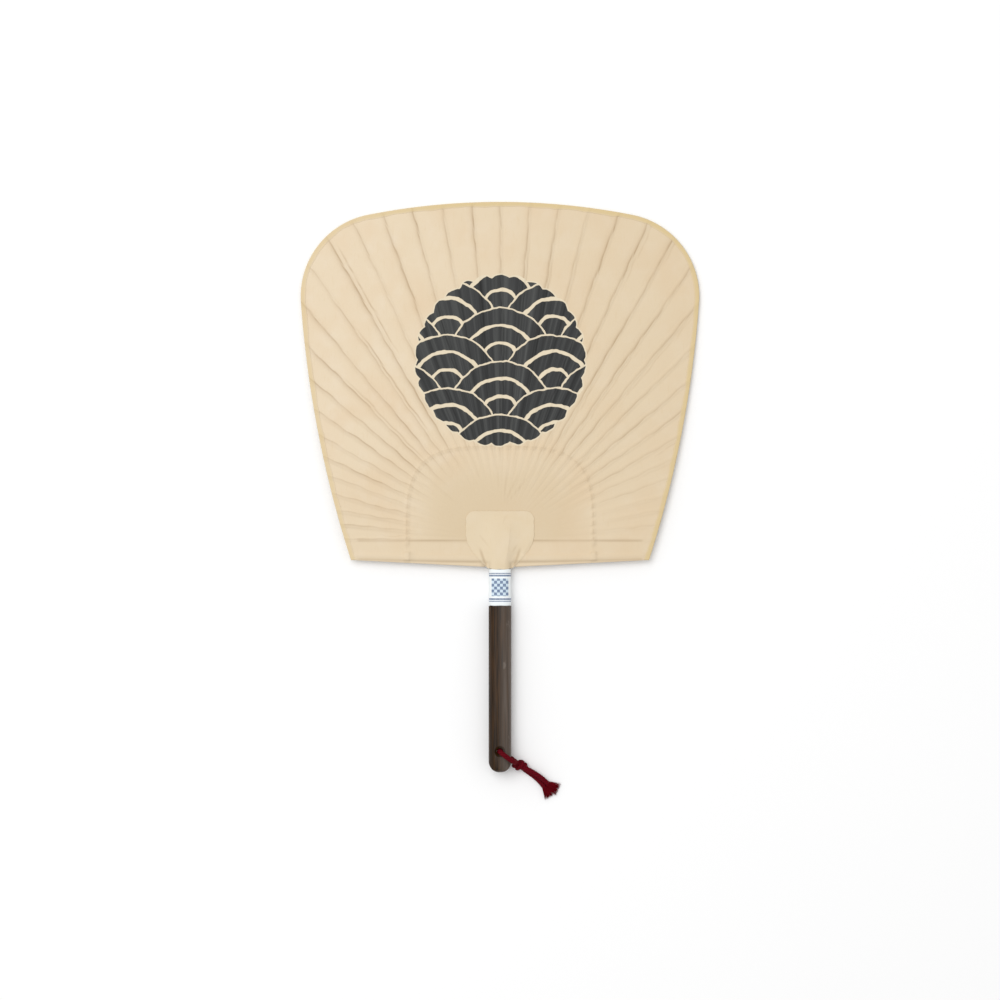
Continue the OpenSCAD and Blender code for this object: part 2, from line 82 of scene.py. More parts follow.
def makeObject(name, points, faces, body, merge=None):
    # A mesh object from points and faces, riding on a body; merge joins points closer than that, in metres
    mesh = bpy.data.meshes.new(name)
    mesh.from_pydata(np.asarray(points).reshape(-1, 3).tolist(), [], faces)
    if merge:
        work = bmesh.new()
        work.from_mesh(mesh)
        bmesh.ops.remove_doubles(work, verts=work.verts, dist=merge)
        work.to_mesh(mesh)
        work.free()
    mesh.polygons.foreach_set("use_smooth", np.ones(len(mesh.polygons), bool))
    mesh.update()
    piece = addObject(name, mesh)
    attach(piece, body)
    return piece


def thicken(piece, thickness):
    # Gives a sheet its thickness in millimetres, inwards from its outer face
    solid = piece.modifiers.new("thickness", "SOLIDIFY")
    solid.thickness = thickness * milli
    solid.offset = -1


def gridFaces(rows, columns, start=0, wrapColumns=False, flip=False):
    # Quads of a grid of rows x columns points, numbered row by row
    r = np.arange(rows - 1)[:, None] * columns
    c = np.arange(columns if wrapColumns else columns - 1)[None, :]
    d = (c + 1) % columns
    quads = np.stack([r + c, r + d, r + columns + d, r + columns + c], -1).reshape(-1, 4) + start
    return (quads[:, ::-1] if flip else quads).tolist()


def setUv(piece, name, u, v):
    # A UV map from one u and v for each point of the mesh
    mesh = piece.data
    corner = np.empty(len(mesh.loops), np.int32)
    mesh.loops.foreach_get("vertex_index", corner)
    layer = mesh.uv_layers.new(name=name)
    layer.data.foreach_set("uv", np.stack([u, v], -1)[corner].astype(np.float32).ravel())


def setAttribute(piece, name, values):
    layer = piece.data.attributes.new(name, "FLOAT", "POINT")
    layer.data.foreach_set("value", np.asarray(values, np.float32).ravel())


def meshPoints(piece):
    # A new piece's points in blade coordinates: x across, y up the blade, z off the middle plane
    p = cornersOf(piece.data)
    return p[:, 0] / milli, (p @ upBlade - neckLine) / milli, (p @ normal - middle) / milli


def smooth(t):
    # From 0 to 1 with level ends: t squared times (3 - 2 t)
    t = np.clip(t, 0, 1)
    return t * t * (3 - 2 * t)


def mixed(a, b, t):
    return a + (b - a) * t


def hump(d, flat, slope):
    # 1 where |d| is under flat, then down to 0 over slope
    return 1 - smooth((np.abs(d) - flat) / slope)


def bell(d, half):
    # A rounded line: 1 in its middle, e to the minus square of d over half
    return np.exp(-(d / half) ** 2)


print("camera")
# Straight above, as the photograph looks at the fan
view = {"span": 600, "lens": 100, "sensor": 36, "centreY": -8.2, "objectHeight": 8, "clipEnd": 20000}
eyeHeight = view["span"] * view["lens"] / view["sensor"] + view["objectHeight"]
camera = bpy.data.cameras.new("camera")
camera.lens = view["lens"]
camera.sensor_width = view["sensor"]
camera.clip_end = view["clipEnd"] * milli
cameraObject = addObject("camera", camera)
cameraObject.location = (0, view["centreY"] * milli, eyeHeight * milli)
bpy.context.scene.camera = cameraObject


# Materials

def linear(code):
    # An sRGB hex colour as linear light
    parts = [int(code[i:i + 2], 16) / 255 for i in (1, 3, 5)]
    return [c / 12.92 if c <= 0.04045 else ((c + 0.055) / 1.055) ** 2.4 for c in parts] + [1]


def newMaterial(name, roughness, **sockets):
    # A Principled material; what is the same all over goes straight on its sockets
    material = bpy.data.materials.new(name)
    material.use_nodes = True
    shader = material.node_tree.nodes["Principled BSDF"]
    shader.inputs["Roughness"].default_value = roughness
    shader.inputs["IOR"].default_value = 1.5  # paper, wood, cotton and paint are all near it
    for socket, value in sockets.items():
        shader.inputs[socket.replace("_", " ")].default_value = value
    return material, shader


def addNode(material, kind, inputs, out=0, **settings):
    # One node with its settings and links, and its output socket
    node = material.node_tree.nodes.new("ShaderNode" + kind)
    for name, value in settings.items():
        setattr(node, name, value)
    for key, value in inputs.items():
        if isinstance(value, bpy.types.NodeSocket):
            material.node_tree.links.new(value, node.inputs[key])
        else:
            node.inputs[key].default_value = value
    return node.outputs[out]


def layCoats(material, colour, coats):
    # Colour is laid on in coats: each is a tone and a value, and the share of the tone rises from 0 to most
    # as the value goes from low to high
    for tone, value, low, high, most in coats:
        share = addNode(material, "MapRange", {0: value, 1: low, 2: high, 3: 0, 4: most})
        mix = {"Factor": share, "A": colour, "B": linear(tone)}
        colour = addNode(material, "Mix", mix, 2, data_type="RGBA")
    return colour


def useOn(shader, material, colour, roughness=None, height=None, depth=0):
    # Links colour, roughness and a bump of that depth in metres to the shader
    links = material.node_tree.links
    links.new(colour, shader.inputs["Base Color"])
    if roughness:
        links.new(roughness, shader.inputs["Roughness"])
    if height:
        bump = addNode(material, "Bump", {"Height": height, "Distance": depth, "Strength": 1})
        links.new(bump, shader.inputs["Normal"])


def shadeWith(piece, material):
    piece.data.materials.clear()
    piece.data.materials.append(material)


# Handle: the CAD solid with its edges eased by wear
handleEdge = {"round": 0.7, "segments": 3, "sharpFrom": math.radians(38), "flatUnder": math.radians(0.5)}
print("handle")
work = bmesh.new()
work.from_mesh(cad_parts["handle"].data)
bmesh.ops.remove_doubles(work, verts=work.verts, dist=1e-6)
bmesh.ops.dissolve_limit(work, angle_limit=handleEdge["flatUnder"], verts=work.verts, edges=work.edges)
handleMesh = bpy.data.meshes.new("worn_handle")
work.to_mesh(handleMesh)
work.free()
handleMesh.polygons.foreach_set("use_smooth", np.ones(len(handleMesh.polygons), bool))
handle = addObject("worn_handle", handleMesh)
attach(handle, "fan")
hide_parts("handle")
bevel = handle.modifiers.new("eased edges", "BEVEL")
bevel.width = handleEdge["round"] * milli
bevel.segments = handleEdge["segments"]
bevel.angle_limit = handleEdge["sharpFrom"]
bevel.harden_normals = True


# Outline: a top arc, two shoulder arcs and two side arcs, each tangent to the next

def crossing(p, rp, q, rq):
    # The left one of the two points where a circle about p meets a circle about q
    d = math.dist(p, q)
    u = (q - p) / d
    t = (rp ** 2 - rq ** 2 + d ** 2) / (2 * d)
    h = math.sqrt(rp ** 2 - t ** 2) * np.array([-u[1], u[0]])
    return min(p + u * t + h, p + u * t - h, key=lambda c: c[0])


topRadius, shoulderRadius, sideRadius = blade["topRadius"], blade["shoulderRadius"], blade["sideRadius"]
spread = np.array([0, blade["spreadY"]])  # where all ribs' lines meet
corner = np.array([blade["bottomWidth"] / 2, blade["cornerRise"]])
topCentre = np.array([0, blade["height"] - topRadius])
shoulderX = blade["width"] / 2 - shoulderRadius
shoulderRise = math.sqrt((topRadius - shoulderRadius) ** 2 - shoulderX ** 2)
shoulderCentre = np.array([shoulderX, topCentre[1] + shoulderRise])
sideCentre = crossing(shoulderCentre, sideRadius - shoulderRadius, corner, sideRadius)


def bearingOf(point):
    return math.atan2(point[1] - spread[1], point[0] - spread[0])


def meetsShoulder(centre, radius):
    # Where the arc about centre runs into the shoulder's arc
    return centre + (shoulderCentre - centre) * radius / math.dist(shoulderCentre, centre)


topJoint = bearingOf(meetsShoulder(topCentre, topRadius))
sideJoint = bearingOf(meetsShoulder(sideCentre, sideRadius))


def rimArc(a):
    # Centre and radius of the outline's arc that the ray at angle a meets
    half = np.where(a > math.pi / 2, math.pi - a, a)
    zone = (half >= sideJoint).astype(int) + (half >= topJoint)
    centres = np.array([sideCentre, shoulderCentre, topCentre])[zone]
    radius = np.array([sideRadius, shoulderRadius, topRadius])[zone]
    return np.stack([np.where(a > math.pi / 2, -1, 1) * centres[..., 0], centres[..., 1]], -1), radius


def rimRadius(a, inset):
    # Length of the ray at angle a to a line that lies inset inside the outline. With e from the spread point
    # to the arc's centre and b the part of e along the ray, it is b + root(b^2 - e^2 + the arc's radius^2).
    centre, radius = rimArc(a)
    e = centre - spread
    b = e[..., 0] * np.cos(a) + e[..., 1] * np.sin(a)
    return b + np.sqrt(b ** 2 - (e ** 2).sum(-1) + (radius - inset) ** 2)


def sideX(y, inset):
    # How far out the side's arc is at height y, for a line that lies inset inside the outline
    return sideCentre[0] + np.sqrt((sideRadius - inset) ** 2 - (y - sideCentre[1]) ** 2)


def bottomEdge(x):
    # The lower edge rises evenly from its middle to both corners
    return blade["cornerRise"] * np.abs(x) / (blade["bottomWidth"] / 2)


# Bow: the thin rod along the lower edge, which lifts the paper in one long low ridge
bow = {"y": 6, "rise": 1.8, "halfRoot": 1.5, "halfTip": 0.5, "rootX": 9, "endInset": 4.2}
bowEndX = float(sideX(bow["y"] + bow["rise"], bow["endInset"]))


def bowMid(x):
    # The rod's middle line: a parabola, level at the handle
    return bow["y"] + bow["rise"] * (x / bowEndX) ** 2


def bowShare(x):
    # 0 where the rod leaves the handle, 1 at its ends
    return np.clip((np.abs(x) - bow["rootX"]) / (bowEndX - bow["rootX"]), 0, 1)


# The woven arch of thread, seen as a low ridge: a squarish arch over the spread point, on two straight legs
arch = {"halfWidth": 56, "height": 55.5, "square": 3.6, "overRib": 1.32, "between": 0.56, "overHitch": 2,
        "flat": 0.6, "slope": 1.5}


def archRadius(a):
    # Length of the ray at angle a from the spread point to the arch, a superellipse: with n its squareness,
    # (|cos a / half width|^n + |sin a / height|^n) to the power -1 / n
    n = arch["square"]
    across = np.abs(np.cos(a)) / arch["halfWidth"]
    up = np.abs(np.sin(a)) / arch["height"]
    return (across ** n + up ** n) ** (-1 / n)


def archGap(x, dy, r):
    # How far outside the arch a point lies, dy above the spread point and r from it
    overArch = r - archRadius(np.where(dy > 0, np.arctan2(dy, x), 0))
    return np.where(dy > 0, overArch, np.abs(x) - arch["halfWidth"])


# Paper relief
paper = {"ridge": 0.74, "valley": 0.38, "thickness": 0.2, "rootWidth": 1.6, "tipWidth": 1.2, "slope": 1.5,
         "hub": 21, "hubDepth": 0.15, "tautDepth": 0.45, "wobble": 0.7, "wave": 0.07, "creaseDepth": 0.06,
         "creaseHalf": 0.4, "tapeWidth": 3, "edgeInset": 0.35,
         "strays": ((0.6, 23), (0.3, 9.5), (0.12, 4.1)),  # how far and how slowly a fold strays from its rib
         "waveLengths": (41, 27, 18, 12), "wrinkleHalf": 0.6}
sheetSeed = {front: 11, back: 23}  # each sheet has folds and waves of its own
# small wrinkles of both sheets, above the neck patches: from x, y to x, y, and how high
wrinkles = [(3.6, 38.4, 19.8, 58.2, 0.09), (1.5, 37, 13, 60, 0.08), (2, 39, 4.5, 63, 0.07),
            (-1, 45, -1.5, 66, 0.06), (-12, 52, -16, 64, 0.05), (-27, 40, -36, 47, 0.05)]


def creaseAt(x, y, lines):
    # Raised folds: each is a segment with a height, rounded off sideways and at its ends
    total = 0 * x
    for ax, ay, bx, by, lift in lines:
        along = np.array([bx - ax, by - ay])
        t = np.clip(((x - ax) * along[0] + (y - ay) * along[1]) / (along ** 2).sum(), 0, 1)
        gap = np.hypot(x - ax - t * along[0], y - ay - t * along[1])
        ends = np.sin(math.pi * np.clip(t * 1.1, 0.05, 0.97))
        total = total + lift * bell(gap, paper["wrinkleHalf"]) * ends
    return total


def nearestRib(x, y, seed):
    # For a point: its nearest rib, how far it lies off that rib and off the rib's fold, plus anticlockwise,
    # and its distance from the spread point. A fold strays from its rib by three slow sines.
    dx, dy = x - spread[0], y - spread[1]
    r = np.hypot(dx, dy) + 1e-6
    a = np.where(dx < 0, math.pi - np.arctan2(dy, -dx), np.arctan2(dy, dx))
    k = np.clip(np.rint(a / pitch), 0, blade["ribs"] - 1).astype(int)
    chance = np.random.default_rng(seed)
    phase = chance.uniform(0, 2 * math.pi, (3, blade["ribs"]))
    size = chance.uniform(0.3, 1, (3, blade["ribs"]))
    stray = sum(w * size[i][k] * np.sin(r / n + phase[i][k]) for i, (w, n) in enumerate(paper["strays"]))
    offRib = (a - k * pitch) * r
    return k, offRib, offRib - paper["wobble"] * smooth((r - 30) / 60) * stray, r


def tautness(x, y, least, most=1):
    # Least low down on the right, where the paper was pulled tight over the ribs, and most from 50 degrees up
    rise = np.arctan2(np.maximum(y - spread[1], 0), np.abs(x))
    return np.where(x > 0, mixed(least, most, smooth((rise - 0.25) / 0.6)), most)


def slowWaves(x, y, seed):
    # Gentle unevenness of hand-pasted paper: a sum of sines in several directions
    chance = np.random.default_rng(seed + 3)
    total = np.zeros(np.broadcast(x, y).shape)
    for length in paper["waveLengths"]:
        turn, phase = chance.uniform(0, 2 * math.pi, 2)
        along = x * math.cos(turn) + y * math.sin(turn)
        size = length / paper["waveLengths"][0]
        total = total + size * np.sin(along * 2 * math.pi / length + phase)
    return total * paper["wave"]


def relief(x, y, seed):
    # Height of the paper's outer face off the middle plane: level on a rib, down beside it to a crease and
    # the valley between two ribs, with slow waves in the valleys
    _, offRib, d, r = nearestRib(x, y, seed)
    dy = y - spread[1]
    width = mixed(paper["rootWidth"], paper["tipWidth"], r / maxReach)
    slope = np.clip(pitch * r / 2 - width / 2, 0.3, paper["slope"])
    onRib = np.where(r < paper["hub"], 1, hump(d, width / 2, slope))
    # near the hub the paste fills the valleys
    depth = mixed(paper["hubDepth"], 1, smooth((r - 24) / 50)) * tautness(x, y, paper["tautDepth"])
    height = paper["ridge"] - (paper["ridge"] - paper["valley"]) * (1 - onRib) * depth
    height = height - paper["creaseDepth"] * bell(np.abs(d) - width / 2 - slope, paper["creaseHalf"]) * depth
    height = height + slowWaves(x, y, seed) * smooth((r - 22) / 25) * (1 - 0.7 * onRib)
    # the strip under the lowest ribs, with the bow's ridge
    half = mixed(bow["halfRoot"], bow["halfTip"], bowShare(x))
    ridge = hump(y - bowMid(x), half * 0.6, half * 0.5 + 1.6) * hump(np.abs(x), bowEndX, 1.6)
    strip = mixed(paper["valley"], half + 0.24, ridge) + 0.5 * slowWaves(x, y, seed + 5) * (1 - ridge)
    height = mixed(height, strip, smooth((-dy - 0.6) / 2.2))
    # the woven arch: high where the thread crosses a rib and over its hitch on the bow, low between
    hitchY = bowMid(arch["halfWidth"])
    overRib = np.where(dy > 0, hump(offRib, width / 2 + 0.15, 1.5), hump(dy, 2.2, 3))
    crest = mixed(arch["between"], arch["overRib"], overRib)
    crest = mixed(crest, arch["overHitch"], hump(y - hitchY, 1.9, 1.8))
    flat = arch["flat"] + np.where(y < hitchY + 3, 0.5, 0)
    nearArch = hump(archGap(x, dy, r), flat, arch["slope"]) * smooth((y - bottomEdge(x) - 0.6) / 2)
    return mixed(height, np.maximum(crest, height + 0.1), nearArch) + creaseAt(x, y, wrinkles)


# Painted shade in the folds beside the ribs
folds = {"soft": 0.6, "fade": 1.4, "line": 0.55, "lineHalf": 0.38, "lineOff": 0.35, "thinnest": 0.35,
         "kink": 0.4, "twins": 0.6, "twinHalf": 0.4, "start": 36, "full": 81, "lowLeft": 0.6,
         "lowRight": 0.25, "high": 1.1}


def foldShade(x, y, seed):
    # How much painted shade a point takes, 0 to 1. A rib's fold is a soft painted shade, sharp on its
    # clockwise side and fading out on the other, with a thin broken line in it. Some ribs have a fainter twin
    # line further off.
    k, _, d, r = nearestRib(x, y, seed)
    dy = y - spread[1]
    chance = np.random.default_rng(seed + 7)
    strength = chance.uniform(0.5, 1, blade["ribs"])[k]
    hasTwin = chance.uniform(0, 1, blade["ribs"]) < folds["twins"]
    twinStrength = np.where(hasTwin, chance.uniform(0.3, 0.7, blade["ribs"]), 0)[k]
    twinAway = chance.uniform(1.9, 3.2, blade["ribs"])[k]
    phase = chance.uniform(0, 2 * math.pi, blade["ribs"])[k]
    d = d + folds["kink"] * np.sin(r / 2.7 + phase) * np.sin(r / 8.3 + 2 * phase)
    soft = smooth((d + 0.8) / 0.5) * np.exp(-np.maximum(d, 0) / folds["fade"]) * folds["soft"]
    broken = smooth(1.1 * np.sin(r / 5.3 + 3 * phase) + np.sin(r / 2.1 + phase) + 0.9)
    line = folds["line"] * bell(d + folds["lineOff"], folds["lineHalf"]) * mixed(folds["thinnest"], 1, broken)
    main = (soft + line) * strength * (0.8 + 0.2 * np.sin(r / 13 + phase))
    twin = bell(d + twinAway, folds["twinHalf"]) * twinStrength * smooth(np.sin(r / 23 + phase) + 0.3)
    outwards = smooth((r - folds["start"]) / (folds["full"] - folds["start"]))
    # the painted shade is weakest low down on the right and strongest high up on the left
    right, left = tautness(x, y, folds["lowRight"]), tautness(-x, y, folds["lowLeft"], folds["high"])
    shade = np.maximum(main, twin) * outwards * smooth(dy + 1) * np.where(x > 0, right, left)
    # painted shade in two long lines under the lowest ribs: the ribs' own and the bow's
    under = bell(dy + 1, 0.55) * (0.55 + 0.15 * np.sin(x / 9)) + 0.5 * bell(y - bowMid(x) + 2.4, 0.6)
    shade = np.maximum(shade, under * smooth((np.abs(x) - 8) / 6) * smooth((bowEndX + 1 - np.abs(x)) / 3))
    # painted shade along the arch: a dot where the thread crosses each rib, faint between
    dots = bell(archGap(x, dy, r), 0.6) * (0.16 + 0.32 * hump(d, 0.5, 1.2)) * smooth((y - 9) / 3)
    # painted shade also lies along the small wrinkles
    return np.clip(np.maximum(shade, dots) + 3 * creaseAt(x, y, wrinkles), 0, 1)


def paintedShadeToRight(x):
    # Painted shade: the paper is a little darker and browner towards the right, away from the light
    return 0.45 * smooth((x + 110) / 220)


def fanColumns():
    # Angles of the grid's columns, closer together near each rib
    steps = np.array([0, 0.035, 0.07, 0.11, 0.15, 0.2, 0.27, 0.37, 0.5, 0.63, 0.73, 0.79, 0.84, 0.88, 0.92,
                      0.96])
    inner = (np.arange(blade["ribs"] - 1)[:, None] + steps).ravel()
    return np.append(inner, blade["ribs"] - 1) * pitch


def fanRows(a):
    # Radii of the grid's rows along the ray at angle a: hub, arch, then evenly out to the tape and the edge
    hub = np.array([0, 3, 9, 13, 17, 20, 23, 26, 29.5, 33, 37, 41, 45, 49])
    nearArch = np.array([-2.6, -1.9, -1.2, -0.5, 0.2, 0.9, 1.6, 2.4])
    share = np.linspace(0, 1, 40)[1:]
    ring = archRadius(a)[:, None]
    tape, edge = (rimRadius(a, paper[inset])[:, None] for inset in ("tapeWidth", "edgeInset"))
    hubRows = np.where(hub < 40, hub, 40 + (hub - 40) * (ring - 43) / 12.5)
    last = ring + nearArch[-1]
    return np.concatenate([hubRows + 0 * ring, ring + nearArch, last + share * (tape - last),
                           mixed(tape, edge, 0.5), edge], 1)


def buildPaper(name, side):
    # A sheet is its relief over a polar grid above the lowest ribs, rays by radii, and over a grid on each
    # side of the handle under them. There the columns keep the radii of the first ray, and past the arch they
    # spread so that the last ones follow the blade's side.
    seed = sheetSeed[side]
    columns = fanColumns()
    radii = fanRows(columns)
    x = spread[0] + radii * np.cos(columns)[:, None]
    y = spread[1] + radii * np.sin(columns)[:, None]
    points = [np.stack([x, y], -1).reshape(-1, 2)]
    faces = gridFaces(len(columns), radii.shape[1])
    stripX = radii[0][radii[0] >= bow["rootX"]]
    inTape = np.arange(len(stripX)) < len(stripX) - 2
    atTop = np.where(inTape, stripX[-3], stripX[-1])
    share = np.linspace(0, 1, 26)[:, None] ** 0.9
    archOut = arch["halfWidth"] + 2.4
    for sign in (1, -1):
        xx = np.broadcast_to(stripX, (len(share), len(stripX)))
        yy = mixed(spread[1], bottomEdge(xx) + 0.2, share)
        for _ in range(3):
            limit = np.where(inTape, sideX(yy, paper["tapeWidth"]), sideX(yy, paper["edgeInset"]))
            spreadOut = archOut + (stripX - archOut) * (limit - archOut) / (atTop - archOut)
            xx = np.where(stripX > archOut, spreadOut, stripX)
            yy = mixed(spread[1], bottomEdge(xx) + 0.2, share)
        start = sum(len(p) for p in points)
        points.append(np.stack([sign * xx, yy], -1).reshape(-1, 2))
        faces += gridFaces(len(share), len(stripX), start, flip=sign > 0)
    x, y = np.concatenate(points).T
    if side == back:
        faces = [f[::-1] for f in faces]
    piece = makeObject(name, place(x, y, side * relief(x, y, seed)), faces, "fan", merge=2e-6)
    x, y, _ = meshPoints(piece)
    dy = y - spread[1]
    inArch = smooth((archRadius(np.abs(np.arctan2(dy, x))) - np.hypot(x, dy)) / 26)
    lowLeft = smooth((90 - y) / 70) * smooth((30 - x) / 60)
    # painted shade in the folds
    setAttribute(piece, "paintedFoldShade", foldShade(x, y, seed))
    # painted shade darker and browner towards the right, plus a darker tone inside the arch and to the lower
    # left
    setAttribute(piece, "shadeAndTone", paintedShadeToRight(x) + 0.42 * inArch * smooth((dy + 4) / 6) + 0.22 * lowLeft)
    thicken(piece, paper["thickness"])
    return piece


print("papers")
frontPaper = buildPaper("front_sheet", front)
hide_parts("front_paper")
backPaper = buildPaper("back_sheet", back)
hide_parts("back_paper")


# Edge binding: one strip folded over the rim, from a lower corner round the top to the other
binding = {"width": 3, "thickness": 0.09, "uneven": 0.22, "waves": ((37, 1), (83, 0.6), (151, 0.4)),
           "seed": 5, "rows": (1, 0.97, 0.75, 0.5, 0.3, 0.17, 0.08, 0.02), "rounded": 0.3, "rimHeight": 0.35,
           "stations": 720, "gap": 0.03, "rimLeft": 0.6}


def buildBinding():
    # Rows of points along the rim, each a share of the strip's width inside it: the front's from its wavy
    # inner edge outwards, the rim itself, and the back's inwards. A row lies on the sheet's relief, and near
    # the rim its height falls as a quarter circle, to rimHeight of the relief's.
    first = bearingOf(corner)
    a = np.linspace(first, math.pi - first, binding["stations"])
    chance = np.random.default_rng(binding["seed"])

    def along(inset):
        reach = rimRadius(a, inset)
        return spread[0] + reach * np.cos(a), spread[1] + reach * np.sin(a)

    rows = []
    for side in (front, back):
        phase = chance.uniform(0, 2 * math.pi, 3)
        waves = sum(size * np.sin(a * often + p) for (often, size), p in zip(binding["waves"], phase))
        edge = binding["width"] + binding["uneven"] * waves
        part = []
        for share in binding["rows"]:
            x, y = along(edge * share)
            top = relief(x, y, sheetSeed[side]) + binding["gap"] + binding["thickness"]
            fall = math.sqrt(1 - (1 - min(share / binding["rounded"], 1)) ** 2)
            lying = top * mixed(binding["rimHeight"], 1, fall)
            pasted = top - binding["thickness"] * 0.95
            part.append(place(x, y, side * (pasted if share == 1 else lying)))
        rows += part if side == front else [place(*along(0), 0)] + part[::-1]
    piece = makeObject("edge_binding", rows, gridFaces(len(rows), len(a), flip=True), "fan")
    x, y, z = meshPoints(piece)
    shade = [foldShade(x, y, sheetSeed[side]) for side in (front, back)]
    setAttribute(piece, "paintedFoldShade", np.where(z > 0, *shade))
    # painted shade darker and browner towards the right
    setAttribute(piece, "shadeAndTone", paintedShadeToRight(x))
    # the tan of the rim fades towards the strip's inner edge, and is weaker on the left
    outwards = 1 - np.abs(np.linspace(-1, 1, len(rows)))
    atRim = np.repeat(np.clip((outwards - 0.08) / 0.22, 0, 1), len(a))
    setAttribute(piece, "rim", atRim * mixed(binding["rimLeft"], 1, smooth((x + 115) / 100)))
    thicken(piece, binding["thickness"] * 0.8)
    return piece


print("binding")
edgeBinding = buildBinding()
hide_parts("edge_tape")


# Neck patches: paper draped from the handle's head to the blade
patch = {"height": 34.2, "halfWidth": 20.5, "neckHalf": 7.5, "cornerRadius": 5, "widenY": 20, "footX": 13.4,
         "footY": 10.5, "lip": 1, "pasted": 2, "thickness": 0.2, "rows": 90, "columns": 111, "softening": 30,
         "neckThick": 9.2, "neckWide": 12.4, "headBaseY": 3, "headY": 25, "headTip": 1.62, "closed": 0.05}
patchCreases = {front: [(-6, 12, -14, 22, 0.05), (7, 9, 11, 15, 0.06), (1.5, 26, 4, 33, 0.04),
                        (7.5, 3, 9.5, 9, 0.05)],
                back: [(-6, 13, -14, 26, 0.06), (6, 14, 15, 28, 0.06), (6, 8, 13, 14, 0.05)]}


def patchHalf(y):
    # Half the patch's width: a quarter sine from the neck out to its side, and two round upper corners
    widened = np.sin(math.pi / 2 * np.minimum(1, y / patch["widenY"]))
    half = mixed(patch["neckHalf"], patch["halfWidth"], widened)
    over = np.maximum(0, y - (patch["height"] - patch["cornerRadius"]))
    return half - patch["cornerRadius"] + np.sqrt(np.maximum(0, patch["cornerRadius"] ** 2 - over ** 2))


def patchHeight(x, y, side):
    # The paper lies on the round head of the handle and on the blade, and hangs between them as a half cosine
    # from the head's height down to the sheet's. It is evened out by averaging each point with its
    # neighbours, but comes no more than 0.1 mm lower than that.
    up = np.clip((y - patch["headBaseY"]) / (patch["headY"] - patch["headBaseY"]), 0, 1)
    head = mixed(patch["neckThick"] / 2, patch["headTip"], up) + 0.2
    r = patch["neckThick"] / 2 + 0.3
    e = np.maximum(0, np.abs(x) - (patch["neckWide"] - patch["neckThick"]) / 2)
    onHead = (e < r) & (y < patch["headY"] + 0.6)
    rounded = np.where(onHead, np.minimum(np.sqrt(np.maximum(0, r * r - e * e)), head), 0)
    top = mixed(head, paper["ridge"], smooth((y - patch["headY"] - 0.5) / 7))
    foot = mixed(patch["neckHalf"], patch["footX"], np.minimum(1, y / patch["footY"]))
    t = np.clip((np.abs(x) - 2) / (foot - 2), 0, 1)
    # beside the neck, below the bow, it meets the other patch
    beside = smooth((4.4 - y) / 1.6) * smooth((bow["rootX"] - np.abs(x)) / 0.8)
    drape = mixed(mixed(paper["ridge"], patch["closed"], beside), top, 0.5 + 0.5 * np.cos(math.pi * t))
    sheet = relief(x, y, sheetSeed[side])
    under = np.maximum(np.maximum(rounded, drape), mixed(sheet + 0.02, patch["closed"], beside))
    soft = under
    for _ in range(patch["softening"]):
        wide = np.pad(soft, 1, mode="edge")
        soft = (wide[:-2, 1:-1] + wide[2:, 1:-1] + wide[1:-1, :-2] + wide[1:-1, 2:] + 4 * soft) / 8
    lying = mixed(np.maximum(under - 0.1, soft), under, beside)
    # the border is pasted down on the sheet
    inside = np.minimum(patchHalf(np.maximum(y, 0)) - np.abs(x), patch["height"] - y)
    pasted = (1 - smooth((inside - 0.3) / patch["pasted"])) * (1 - beside)
    return mixed(lying, sheet + 0.05, pasted) + patch["thickness"] + creaseAt(x, y, patchCreases[side])


def buildPatch(name, side):
    # A grid from the lip over the label's edge, which sags as a parabola, up to the top edge. Its columns are
    # even shares of the width, which wavers a little.
    across = np.linspace(-1, 1, patch["columns"])[None, :]
    up = np.linspace(0, 1, patch["rows"])[:, None]
    y = mixed(-patch["lip"] * (1 - across ** 2), patch["height"], up)
    chance = np.random.default_rng(sheetSeed[side])
    x = across * patchHalf(np.maximum(y, 0)) * (1 + 0.006 * np.sin(y * 1.3 + chance.uniform(0, 6)))
    faces = gridFaces(patch["rows"], patch["columns"], flip=side == back)
    piece = makeObject(name, place(x, y, side * patchHeight(x, y, side)), faces, "fan")
    # painted shade at the patch's creases and in the hollows at its flanks beside the neck
    flankShade = bell(np.abs(x) - 8.1 - y * 0.34, 0.9) * smooth((14 - y) / 6) * smooth(y / 3)
    setAttribute(piece, "paintedFoldShade", np.clip(creaseAt(x, y, patchCreases[side]) * 5 + 0.7 * flankShade, 0, 1))
    setAttribute(piece, "shadeAndTone", 0.25 + 0 * x)
    thicken(piece, patch["thickness"] * 0.9)
    return piece


print("patches")
frontPatch = buildPatch("front_neck_patch", front)
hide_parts("front_patch")
backPatch = buildPatch("back_neck_patch", back)
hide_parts("back_patch")


# Label: a paper band wound once round the neck, its end pasted over its start at the back
label = {"length": 22, "wide": 12.4, "thick": 9.2, "thickness": 0.2, "paste": 0.02, "overlap": 6, "ramp": 1.2,
         "uneven": 0.06, "columns": 150, "rows": 30}


